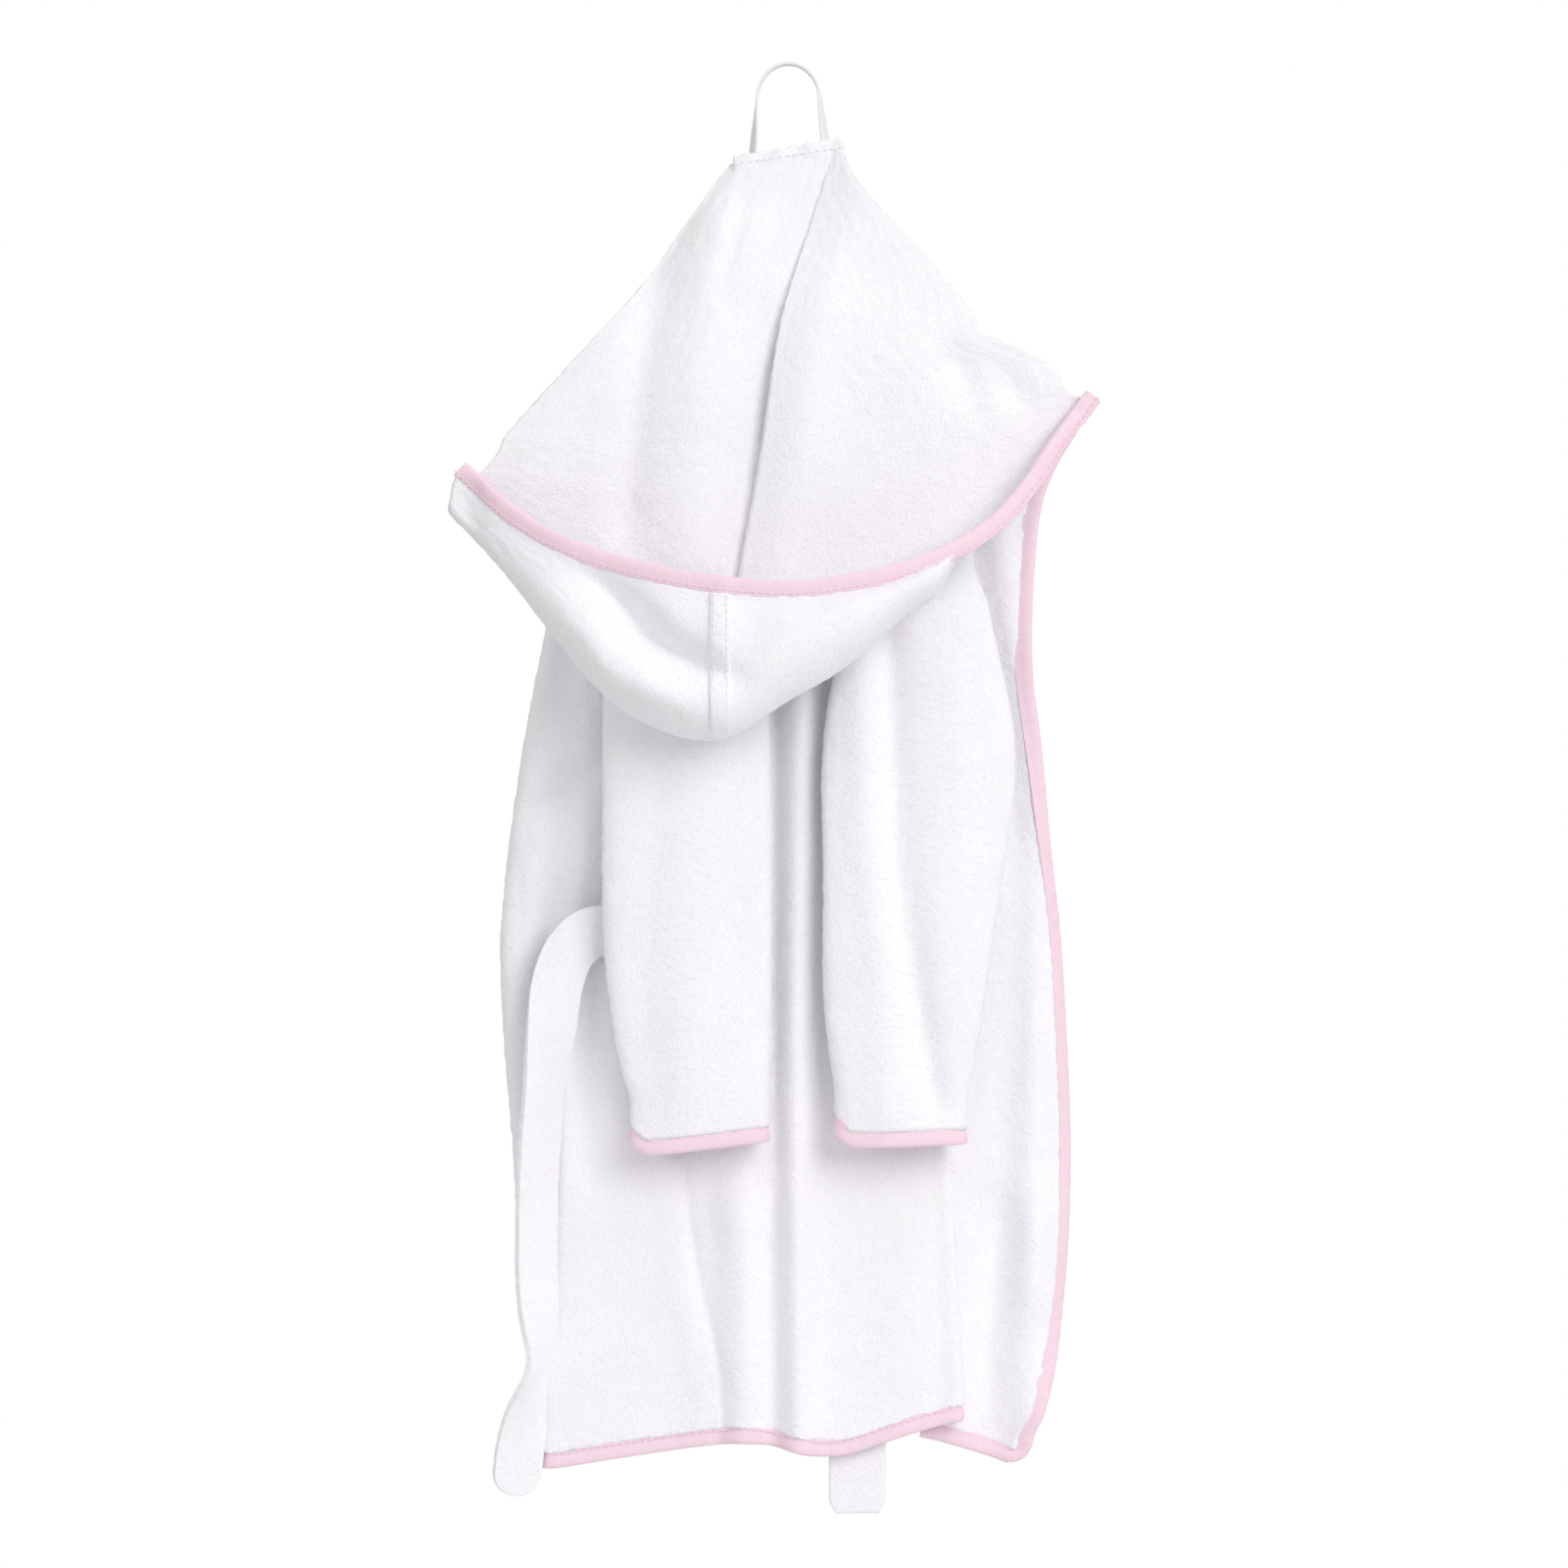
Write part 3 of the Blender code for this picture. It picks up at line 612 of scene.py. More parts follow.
def stitches(name, rows, thread, body):
    """Rows of stitches, each a path and the direction that its stitches stand out in."""
    points, faces = [], []
    for path, out in rows:
        even, tangent, places = along(path, STITCH_PITCH)
        out = np.array(out, float)
        if out.ndim == 1:
            out = np.tile(out, (len(even), 1))
        else:
            out = out[np.rint(np.linspace(0, len(out) - 1, len(even))).astype(int)]
        side = np.cross(tangent, out)
        for p, t, s, o in zip(even, tangent, side, out):
            faces += [tuple(i + len(points) * len(stitch_points) for i in face) for face in stitch_faces]
            points.append(p + stitch_points @ np.array([t * STITCH_LENGTH / 2, s * THREAD, o * THREAD]))
    mesh = bpy.data.meshes.new(name)
    mesh.from_pydata(np.concatenate(points).tolist(), [], faces)
    piece = bpy.data.objects.new(name, mesh)
    bpy.context.scene.collection.objects.link(piece)
    tidy(piece, 1e-7)
    bpy.ops.object.shade_smooth()
    wear(piece, thread)
    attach(piece, body)
    print(f"{name}: {len(points)} stitches")
    return piece

# %% [markdown]
# ## The hood
#
# The hood is two mirrored halves joined by a seam over the head. Hanging upside down it makes a pocket: its
# back layer runs down from the nape, turns up at the bottom, and ends in front as the bound face edge. Each
# half is one cloth, so each is one piece here, although the frame splits it at the line where the hood
# lifts. A section of that pocket is drawn for every place across the hood; its heights and depths are
# measured on the frame.

# %% The hood's lines
hinge, hinge_axis = Vector(joint("hood_lift")["pos_m"]), Vector(joint("hood_lift")["axis"])
crowns = ["hood_left_crown", "hood_centre_seam", "hood_right_crown"]
crown_left, crown_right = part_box(crowns[0])[0].x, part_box(crowns[2])[1].x
CORNER_REACH = 0.004         # the cloth's corners stand this far out of the frame's
LEFT_CORNER, RIGHT_CORNER = crown_left - CORNER_REACH, crown_right + 2 * CORNER_REACH
SEAM_X = (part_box("hood_centre_seam")[0].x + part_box("hood_centre_seam")[1].x) / 2
HOOD_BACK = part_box("hood_left_nape")[0].y + TERRY / 2 - 0.0022


def past_ends(measured, first, last):
    """Lets a measured line run on straight past its two ends."""
    step = 0.006
    start, stop = measured(first + step / 3), measured(last - step / 3)
    first_slope = (measured(first + step) - start) / (step * 2 / 3)
    last_slope = (stop - measured(last - step)) / (step * 2 / 3)
    return lambda x: np.where(x < first + step / 3, start + (x - first - step / 3) * first_slope, np.where(
        x > last - step / 3, stop + (x - last + step / 3) * last_slope, measured(x)))


lip_top = line(["hood_binding"], X, crown_left, crown_right, Z, max)
lip_low = line(["hood_binding"], X, crown_left, crown_right, Z, min)
mid_lip = past_ends(lambda x: (lip_top(x) + lip_low(x)) / 2, crown_left, crown_right)
crown_low = past_ends(line(crowns, X, crown_left, crown_right, Z, min), crown_left, crown_right)
crown_front = line(crowns, X, crown_left, crown_right, Y, min)


def lip(x):
    """Height of the face edge, which is drawn up a little more at the hood's two corners."""
    return (mid_lip(x) + 0.0090 * np.clip((-0.075 - x) / 0.071, 0, 1.2) ** 2
            + 0.0055 * np.clip((x - 0.095) / 0.040, 0, 1.2) ** 2)


def hinge_height(x):
    return hinge.z + (x - hinge.x) * hinge_axis.z / hinge_axis.x


def pocket_front(x):
    """Depth of the front layer; the two layers close together at the hood's corners."""
    half = np.where(x < SEAM_X, SEAM_X - LEFT_CORNER, RIGHT_CORNER - SEAM_X)
    share = np.clip(abs(x - SEAM_X) / half, 0, 1)
    return mix(np.minimum(crown_front(x) + TERRY / 2, HOOD_BACK - 2 * TERRY), HOOD_BACK - 1.7 * TERRY,
               ease((share - 0.86) / 0.14))


print("hood from", round(LEFT_CORNER * 1000), "to", round(RIGHT_CORNER * 1000), "mm, pocket",
      round((HOOD_BACK - pocket_front(SEAM_X)) * 1000), "mm deep")

# %% [markdown]
# The cloth of the pocket is soft. On the left its front layer sinks in below the face edge and rolls over
# at the bottom, and on the right it is drawn nearly flat. Behind, the left half falls in two slow folds
# from the gathered nape, and the right half lies over it along the seam, whose edge throws the one sharp
# shadow on the hood.

# %% The hood's surface
LAP_ROUTE = [(0.040, 0.0205), (0.075, 0.009), (0.105, -0.001), (0.170, -0.0125), (0.235, -0.0265),
             (0.300, -0.030)]


def behind_face(x, z):
    """Folds of the hood's back layer, which shows above the face edge."""
    y = fold(x, z, [(0.052, -0.028), (0.0785, -0.049), (0.109, -0.060), (0.144, -0.066), (0.179, -0.070),
                    (0.215, -0.073)], 0.0100, 0.0050)
    y += fold(x, z, [(0.050, -0.018), (0.075, -0.0225), (0.103, -0.030)], 0.0052, 0.0024)
    y -= fold(x, z, [(0.060, -0.022), (0.110, -0.0340), (0.165, -0.0390), (0.235, -0.045)], 0.0135, 0.0042)
    y -= fold(x, z, [(0.100, -0.080), (0.150, -0.1040), (0.200, -0.117)], 0.013, 0.0030)
    y += dent(x, z, (0.0770, 0.140), (0.016, 0.0085), 112, 0.0034)
    y += dent(x, z, (0.0990, 0.146), (0.014, 0.0070), 125, 0.0026)
    y -= dent(x, z, (0.0560, 0.160), (0.050, 0.0300), 100, 0.0040)
    return y + waves(x, z, 0.060, 0.0007, 3)


def before_crown(x, z):
    """Dents and rolls of the hood's front layer, below the face edge; negative is towards the viewer."""
    y = dent(x, z, (-0.0700, 0.2460), (0.026, 0.0085), -50, 0.0130)
    y += dent(x, z, (-0.0480, 0.2660), (0.023, 0.0070), -24, 0.0110)
    y -= dent(x, z, (-0.0900, 0.2560), (0.024, 0.0095), -52, 0.0036)
    y -= dent(x, z, (-0.0580, 0.2840), (0.028, 0.0085), -22, 0.0062)
    y -= dent(x, z, (-0.0080, 0.2520), (0.030, 0.0300), 0, 0.0022)
    y += dent(x, z, (0.0350, 0.2310), (0.030, 0.0130), 28, 0.0022)
    y -= fold(x, z, [(0.200, SEAM_X), (0.310, SEAM_X)], 0.0062, 0.0012)
    return y + waves(x, z, 0.034, 0.0006, 5)


SECTION_STAGES = (0.0, 0.44, 0.74, 1.0)   # back layer, round the bottom, front layer
TUCK_START = 0.062       # right of here the front layer is drawn up behind its binding
BEHIND_BINDING = 0.0030


def pocket_section(x, s, top=hinge_height):
    """The pocket's cloth at x: s runs down its back, round its bottom and up to the face edge."""
    tucked = ease((x - TUCK_START) / 0.014)
    edge = lip(x) - BINDING_WIDTH * 0.22 + 0.0012 * tucked
    low_z = mix(np.minimum(crown_low(x) + TERRY / 2, edge - 0.007), edge - 0.0007, tucked)
    front = pocket_front(x)
    deep = HOOD_BACK - front
    turn = np.minimum(deep * 0.62, (edge - low_z) * 0.72)
    a, b = SECTION_STAGES[1:3]
    down = np.clip(s / a, 0, 1)
    angle = np.clip((s - a) / (b - a), 0, 1) * math.pi
    up = np.clip((s - b) / (1 - b), 0, 1)
    turn_z = low_z + turn
    z = mix(np.maximum(top(x), turn_z), turn_z, down) - turn * np.sin(angle) + up * (edge - turn_z)
    y = HOOD_BACK - (deep - BEHIND_BINDING * tucked) / 2 * (1 - np.cos(angle)) + deep * 0.10 * ease(up)
    before = ease((s - mix(a, b, 0.45)) / (1 - mix(a, b, 0.45)) / 0.35) * (1 - 0.75 * ease((up - 0.6) / 0.4))
    y = y + before_crown(x, z) * before + behind_face(x, z) * (1 - ease((s - a * 0.72) / (a * 0.4)))
    return np.stack([x, y, z], 1)


HOOD_NAPE_SHARE = 0.36
LAP_END = 0.80           # share of a half's height over which the right half laps over the left
CORNER_SAG = 0.0045      # how far the right half's corner hangs below the hinge line
CORNER_HOLLOW = 0.0105   # how far its outline is hollowed above that corner


def nape_height(x):
    """The nape seam hangs a little higher on the right."""
    left, right = nape_box
    return mix(left.z + 0.0068, right.z - 0.0004, (x - left.x) / (right.x - left.x))


def hood_half(side):
    """One half's shape, from the nape to the face edge; side is -1 on the left and 1 on the right."""
    end = (side + 1) // 2
    node_name = ("hood_left_nape", "hood_right_nape")[end]
    corner = (LEFT_CORNER, RIGHT_CORNER)[end]
    start = nape_box[end].x
    turn_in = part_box(node_name)[end].x - (-0.0006, 0.0030)[end]
    outline = line([node_name], Z, hinge_height(turn_in) + 0.0012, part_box(node_name)[1].z - 0.004, X,
                   (min, max)[end], 70)
    tip = float(lip(corner)) + 0.0015

    def upper_edge(x):
        """The hinge line, which the right half's corner hangs a little below."""
        return hinge_height(x) - CORNER_SAG * (side > 0) * ease((x - turn_in) / 0.024 + 1)

    def top(x):
        """The half's upper edge: the hinge line, and beyond it straight down to the corner's tip."""
        past = (x - turn_in) / (corner - turn_in)
        return np.where(past > 0, mix(upper_edge(turn_in), tip, past), upper_edge(x))

    def place(u, v):
        share = np.clip(v / HOOD_NAPE_SHARE, 0, 1)
        s = np.clip((v - HOOD_NAPE_SHARE) / (1 - HOOD_NAPE_SHARE), 0, 1)
        lap_share = np.clip(v / LAP_END, 0, 1)
        lapped = np.sin(lap_share * math.pi) ** 0.7
        lap_drop = mix(-nape_height(0.02), LAP_ROUTE[-1][0], lap_share)
        seam = drawn(LAP_ROUTE, lap_drop) + side * 0.0002
        seam = seam + (0.010 * lapped if side < 0 else 0)
        outer_z = mix(nape_height(start), hinge_height(turn_in), share)
        widened = (turn_in - outline(hinge_height(turn_in))) * ease((share - 0.78) / 0.22)
        above_turn = outer_z - hinge_height(turn_in)
        hollow = CORNER_HOLLOW * (side > 0) * np.exp(-((above_turn - 0.0166) / 0.0085) ** 2)
        above = side * np.minimum(side * (outline(outer_z) + widened), side * turn_in) - hollow
        outer = np.where(share < 1, above, mix(turn_in, corner, np.clip(s / 0.22, 0, 1)))
        bulge = 0.0035 * np.sin(np.clip((s - 0.45) / 0.55, 0, 1) * math.pi) * (side < 0)
        x = mix(seam, outer + side * bulge, u)
        pocket = pocket_section(x, s, top)
        seam_z = mix(nape_height(seam), hinge_height(seam), share)
        z = mix(seam_z, outer_z, u) + upper_edge(x) - hinge_height(x)
        y = mix(nape_box[0].y - TERRY * 0.8, HOOD_BACK, np.sin(share * math.pi / 2))
        y = y + behind_face(x, z) * ease(share / 0.25)
        nape = np.stack([x, y - 0.0016 * ease(share / 0.2) * (1 - ease((share - 0.2) / 0.8)), z], 1)
        made = np.where((share < 1)[:, None], nape, pocket)
        drop = -made[:, 2]
        from_seam = made[:, 0] - drawn(LAP_ROUTE, np.clip(drop, LAP_ROUTE[0][0], LAP_ROUTE[-1][0]))
        inside = lapped * (v < 0.68) * (1 - ease((v - 0.6) / 0.08))
        if side < 0:
            deep = 0.0008 + 0.0044 * np.exp(-((drop - 0.148) / 0.042) ** 2)
            made[:, 1] += inside * deep * np.exp(-((from_seam - 0.002) / 0.010) ** 2)
        else:
            made[:, 1] -= inside * (0.0044 * np.exp(-((from_seam - 0.017) / 0.013) ** 2) + 0.0008)
        roll = ease((u - 0.84) / 0.16) * (1 - ease((share - 0.75) / 0.25))
        made[:, 1] += (0.0030 if side < 0 else 0.0004) * roll
        return made

    return place


# %% The hood's two halves
HOOD_CUT = (0.165, 0.36)
hood_sides = []
for side, label in ((-1, "left"), (1, "right")):
    half, area = terry_cloth(label + "_hood_cloth", 0.135, 0.335, hood_half(side))
    wear(half, terry, [f"hood_{label}_nape", f"hood_{label}_crown"])
    hood_sides.append((half, area))

# %% [markdown]
# The face edge is bound with pink jersey, whose ends are tucked in at the two corners. The seam over the
# head is felled: its allowances lie to one side under a flat band, sewn down along both edges. The band is
# laid on the same section as the cloth, a little in front of it.

# %% Face binding
hood_line = np.linspace(LEFT_CORNER + 0.001, RIGHT_CORNER, 150)
face_path = pocket_section(hood_line, np.ones_like(hood_line))
face_path[:, 1] -= BEHIND_BINDING * ease((hood_line - TUCK_START) / 0.014)
face_path[:, 2] = lip(hood_line)
_, face_inner, face_out = binding("hood_face_binding", face_path, (0, 0.12, 1), 0.0054, "hood_binding",
                                  "hood", seed=2)
stitches("hood_face_stitches", both_sides(face_inner, face_out, 0.0020), pink_thread, "hood")

# %% Seam band over the head
BAND_WIDTH = 0.0088
BAND_START, BAND_END = 0.58, 0.985
band_places = np.linspace(0.02, 0.97, 60)


def seam_band(u, v):
    """The felled band over the seam, a little in front of the pocket's cloth."""
    s = mix(BAND_START, BAND_END, v)
    x = SEAM_X + (u - 0.5) * BAND_WIDTH
    here, ahead = pocket_section(x, s), pocket_section(x, s + 0.004)
    run = ahead - here
    out = unit(np.stack([np.zeros_like(x), run[:, 2], -run[:, 1]], 1))
    return here - out * (0.0024 * ease(v / 0.22) - 0.0006)[:, None]


def band_line(u):
    return seam_band(np.full_like(band_places, u), band_places)


band, _ = terry_cloth("hood_seam_band", BAND_WIDTH, 0.10, seam_band, thickness=0.0022)
wear(band, terry, ["hood_centre_seam"])
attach(band, "hood")
under_band = pocket_section(np.full_like(band_places, SEAM_X), mix(BAND_START, BAND_END, band_places))
band_out = unit(band_line(0.5) - under_band)
stitches("hood_seam_stitches", [(band_line(u) + band_out * 0.0013, band_out) for u in (0.17, 0.83)],
         white_thread, "hood")

# %% [markdown]
# ## The nape and the hanging loop
#
# At the nape the hood and the body are gathered into a short seam, whose raw terry edge stands up, held by
# a row of stitches. The loop of twill tape is caught in that seam. It carries the robe, so its two legs are
# straight, and the tape turns a little on its way up, which shows its flat side.

# %% Nape seam
def nape_strip(u, v):
    x = mix(nape_box[0].x - 0.001, nape_box[1].x + 0.001, u)
    z = nape_height(x) + mix(0.0030, -0.0050, v) + 0.0006 * np.sin(x * 900) * (1 - v)
    return np.stack([x, -0.0048 + 0.0006 * np.sin(x * 420), z], 1)


nape, _ = terry_cloth("nape_seam", 0.048, 0.008, nape_strip, thickness=0.0036)
wear(nape, terry, ["neck_seam"])
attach(nape, "body")
nape_run = np.linspace(nape_box[0].x, nape_box[1].x, 40)
nape_row = np.stack([nape_run, np.full(40, -0.0072), nape_height(nape_run) - 0.0012], 1)
stitches("nape_stitches", [(nape_row, (0, -1, 0))], white_thread, "body")

# %% Hanger tape
TAPE = 0.0013
loop_low, loop_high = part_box("hanger_loop")
loop_radius = (loop_high.x - loop_low.x) / 2 - TAPE / 2
loop_centre = loop_high.z - loop_radius - TAPE / 2
turns = np.linspace(math.pi, 0, 30)
arc = [(loop_radius * 0.88 * math.cos(a), loop_centre + loop_radius * math.sin(a)) for a in turns]


def straight(start, end, shares):
    """Points on the straight line between two (x, z) points."""
    return [(mix(start[0], end[0], t), mix(start[1], end[1], t)) for t in shares]


left_leg = straight((-loop_radius * 1.02, loop_low.z - 0.004), arc[0], np.linspace(0, 0.94, 14))
right_leg = straight(arc[-1], (loop_radius * 1.08, loop_low.z + 0.003), np.linspace(0.06, 1, 14))
tape_even, _, tape_run = along([(x, 0.0, z) for x, z in left_leg + arc + right_leg], 0.0012)
tape_width = loop_high.y - loop_low.y


def tape_grid(u, v):
    """The tape along its loop, turned a little on both legs."""
    row = np.rint(v * (len(tape_even) - 1)).astype(int)
    middle = abs(v - 0.5) * 2
    twist = 0.38 * ease((middle - 0.35) / 0.5) * np.sign(v - 0.5)
    flat = np.stack([np.sin(twist), np.cos(twist), np.zeros_like(v)], 1)
    return tape_even[row] + flat * ((u - 0.5) * tape_width)[:, None]


tape = placed_grid("hanger_tape", 8, len(tape_even) - 1, tape_width, tape_run[-1], tape_grid)
modify(tape, "SOLIDIFY", thickness=TAPE, offset=0.0)
round_edges(tape, 0.0004, 2)
tidy(tape)
bpy.ops.object.shade_smooth()
wear(tape, twill, ["hanger_loop"])
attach(tape, "body")
print("hanger tape:", round(tape_run[-1] * 1000), "mm")

# %% [markdown]
# ## The back
#
# The back panel hangs straight, so its folds run down. A deep valley falls from between the shoulders to
# the hem, with a ridge on each side and a shallow crease beside it. At its sides the cloth turns back on
# itself before it meets the side seams, so its edges are rolls and not cuts.

# %% The back panel's surface
back_low, back_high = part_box("back_panel")
back_left = line(["back_panel"], Z, back_low.z + 0.018, back_high.z - 0.012, X, min)
back_right = line(["back_panel"], Z, back_low.z + 0.022, back_high.z - 0.004, X, max)
back_hem = line(["back_hem_binding"], X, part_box("back_hem_binding")[0].x + 0.003,
                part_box("back_hem_binding")[1].x - 0.003, Z, max)
SIDE_ROLL = 0.0032
SIDE_RETURN = 0.020
RETURN_SLOPE = 0.16      # how fast the right return falls away behind
SHOULDER_START = -0.012  # the back's left edge starts no further out than this at the top,
SHOULDER_SLOPE = 0.75    # and runs out by this share of the way down
ARMHOLE = -0.076         # above the ties the back's left edge is the armhole, behind the sleeve


def back_folds(x, z):
    """Depth of the back panel's folds; negative is towards the viewer."""
    y = fold(x, z, [(0.200, -0.0080), (0.320, -0.0065), (0.480, -0.0040), (0.670, -0.0015)], 0.0042, 0.0014)
    y -= fold(x, z, [(0.200, 0.0070), (0.320, 0.0060), (0.480, 0.0035), (0.670, 0.0050)], 0.0078, 0.0082)
    y -= fold(x, z, [(0.180, -0.0260), (0.320, -0.0240), (0.520, -0.0230)], 0.0120, 0.0030)
    y -= fold(x, z, [(0.508, -0.0220), (0.560, -0.0200), (0.670, -0.0190)], 0.0100, 0.0072)
    y -= fold(x, z, [(0.508, 0.0036), (0.670, 0.0050)], 0.0070, 0.0040)
    y += fold(x, z, [(0.460, -0.0480), (0.500, -0.0465), (0.542, -0.0405), (0.585, -0.0305),
                     (0.650, -0.0285)], 0.0032, 0.0016)
    y -= fold(x, z, [(0.440, -0.0560), (0.500, -0.0550), (0.545, -0.0500), (0.590, -0.0400),
                     (0.650, -0.0370)], 0.0070, 0.0012)
    y += fold(x, z, [(0.240, -0.0880), (0.320, -0.0880), (0.416, -0.0905), (0.500, -0.0860)], 0.0085, 0.0040)
    y -= fold(x, z, [(0.450, 0.0480), (0.540, 0.0500), (0.640, 0.0540)], 0.0160, 0.0014)
    y += fold(x, z, [(0.440, 0.0640), (0.540, 0.0680), (0.640, 0.0690)], 0.0060, 0.0014)
    return y + waves(x, z, 0.070, 0.0006, 11)


def back_cloth(u, v):
    """From the left return, round the left roll, across the back, and round to the right return."""
    top = back_high.z - 0.003
    row = -mix(top, back_hem(back_low.x), v)
    left = back_left(-row) - 0.0028 * ease((row - 0.54) / 0.04)
    left = mix(np.maximum(left, ARMHOLE), left, ease((row - 0.384) / 0.028))
    left = np.maximum(left, SHOULDER_START - SHOULDER_SLOPE * (row + top))
    right = back_right(mix(top, back_hem(back_high.x), v))
    turn = math.pi * SIDE_ROLL
    total = (right - left) + 2 * (SIDE_RETURN + turn - SIDE_ROLL)
    run = u * total - (SIDE_RETURN + turn - SIDE_ROLL)
    other = (right - left) - run
    near = np.minimum(run, other)
    angle = np.clip((SIDE_ROLL - near) / SIDE_ROLL, 0, math.pi)
    flat = near - SIDE_ROLL
    inset = np.where(angle <= 0, near, np.where(angle < math.pi, SIDE_ROLL - SIDE_ROLL * np.sin(angle),
                                                SIDE_ROLL + (-flat - turn)))
    x = np.where(run < other, left + inset, right - inset)
    y = np.where(angle <= 0, 0, SIDE_ROLL * (1 - np.cos(angle)))
    y = y + RETURN_SLOPE * np.clip(-flat - turn, 0, None) * (run > other)
    z = mix(top, back_hem(x) + 0.001 - 0.0050 * np.exp(-((x - 0.0176) / 0.024) ** 2), v)
    front = 1 - ease(angle / math.pi * 1.4)
    y = y + back_folds(x, z) * front + 0.0012 * (1 - ease(v / 0.1))
    return np.stack([x, y, z], 1)


BACK_CUT = (0.25, 0.60)
back, back_area = terry_cloth("back_cloth", 0.25, 0.575, back_cloth)
wear(back, terry, ["back_panel"])
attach(back, "body")

# %% Back hem
DOWN = np.array([0, 0, -1])
hem_run = np.linspace(0.012, 0.988, 160)
hem_path = back_cloth(hem_run, np.ones_like(hem_run)) + DOWN * 0.0031
hem, hem_inner, hem_out = binding("back_hem_edge", hem_path, DOWN, 0.0046, "back_hem_binding", "body", seed=4)
stitches("back_hem_stitches", both_sides(hem_inner, hem_out, 0.0016), pink_thread, "body")

# %% [markdown]
# ## The two fronts
#
# Each front hangs open from its side seam. The right one shows its bound edge, which curls away from us on
# its way down, so the binding is seen first flat and then from its side. The left one is folded back along
# its whole height, and its bound edge lies behind.

# %% Right front
SEAM_TUCK = 0.003
SEAM_ALLOWANCE = 0.006
right_low, right_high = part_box("right_front_panel")
right_y = (right_low.y + right_high.y) / 2
right_edge = line(["right_front_binding"], Z, right_low.z + 0.006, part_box("right_front_binding")[1].z - 0.001,
                  X, max, 80)
right_top = line(["right_front_panel"], X, right_low.x + 0.001, right_high.x - 0.001, Z, max)
right_hem = line(["right_front_panel"], X, right_low.x + 0.001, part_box("right_front_hem_binding")[1].x,
                 Z, min)


def curl(z):
    """How far the right front's edge has turned away from the viewer."""
    return ease((-z - 0.26) / 0.12) * (1 - 0.5 * ease((-z - 0.56) / 0.05))


def right_folds(x, z):
    """Depth of the right front's folds."""
    y = fold(x, z, [(0.270, 0.1000), (0.400, 0.1020), (0.520, 0.0970), (0.600, 0.0900)], 0.0100, 0.0030)
    y -= fold(x, z, [(0.200, 0.0930), (0.320, 0.1090), (0.450, 0.1120), (0.560, 0.1090)], 0.0075, 0.0034)
    y += fold(x, z, [(0.510, 0.0925), (0.670, 0.0880)], 0.0110, 0.0052)
    y -= fold(x, z, [(0.510, 0.1150), (0.670, 0.1060)], 0.0090, 0.0050)
    return y + waves(x, z, 0.050, 0.0008, 17)


CORNER_DROP = right_low.z - 0.0045
EDGE_TURN = 0.0085       # how far back the right front's edge has turned where it curls most


def right_front(u, v):
    """From the side seam to the bound edge, which turns away from us."""
    top_z = mix(right_high.z, right_top(right_high.x), u)
    z = mix(top_z, mix(right_hem(right_low.x), CORNER_DROP, u ** 1.2), v)
    edge_z = mix(right_top(right_high.x), right_low.z, v)
    corner = 0.004 * ease((v - 0.96) / 0.04)
    x = mix(right_low.x - SEAM_ALLOWANCE, right_edge(edge_z) - BINDING_WIDTH * 0.75 - corner, u)
    y = right_y - 0.0012 + (right_folds(x, z) + 0.0012) * ease(u / 0.3)
    return np.stack([x, y + EDGE_TURN * curl(z) * ease((u - 0.55) / 0.45) ** 1.5, z], 1)


RIGHT_CUT = (0.085, 0.54)
right, right_area = terry_cloth("right_front_cloth", 0.062, 0.52, right_front)
wear(right, terry, ["right_front_panel"])


# %% The right front's bound edges
def beside(path):
    """The direction out of a panel's edge, in its plane, for a path clockwise round the panel."""
    return unit(np.cross(np.gradient(path, axis=0), (0, 1, 0)))


edge_run = np.linspace(0, 1, 220)
edge_path = right_front(np.ones_like(edge_run), edge_run * 0.982)
turned = curl(edge_path[:, 2])
edge_path += np.stack([np.cos(turned * 0.95), np.sin(turned * 0.95), np.zeros_like(turned)], 1) * 0.0022
low_path = right_front(np.linspace(0.93, 0, 60), np.ones(60)) + DOWN * 0.0030
bend = np.linspace(0.1, 0.9, 9)[:, None]
corner_at = np.array([edge_path[-1, 0] - 0.0005, low_path[0, 1], low_path[0, 2] - 0.0008])
round_corner = (1 - bend) ** 2 * edge_path[-1] + 2 * bend * (1 - bend) * corner_at + bend ** 2 * low_path[0]
edge_path = np.concatenate([edge_path, round_corner, low_path[:3]])
turned = curl(edge_path[:, 2]) * 0.95 * (np.arange(len(edge_path)) < 215)
edge_out = beside(edge_path) * np.cos(turned)[:, None] + np.array([0, 1, 0]) * np.sin(turned)[:, None]
right_edges = [binding("right_front_edge", edge_path, edge_out, 0.0052, "right_front_binding", "right_front",
                       seed=6)[0],
               binding("right_front_hem_edge", low_path, DOWN, 0.0052, "right_front_hem_binding",
                       "right_front", seed=7)[0]]

# %% Left front
left_low, left_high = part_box("left_front_panel")
left_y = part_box("right_front_panel")[0].y + TERRY / 2
left_back_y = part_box("left_front_binding")[0].y + 0.0015
left_fold = line(["left_front_panel"], Z, left_low.z + 0.030, left_high.z - 0.085, X, min, 70)
left_top = line(["left_front_panel"], X, left_low.x + 0.010, left_high.x - 0.001, Z, max)
left_hem = line(["left_front_panel"], X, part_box("left_front_hem_binding")[0].x + 0.002, left_high.x - 0.001,
                Z, min)
left_roll = (left_back_y - left_y) / 2
LEFT_RETURN = 0.026
TOP_SAG = 0.030          # the left front's top hangs lower than its solid, so that the hood hides it


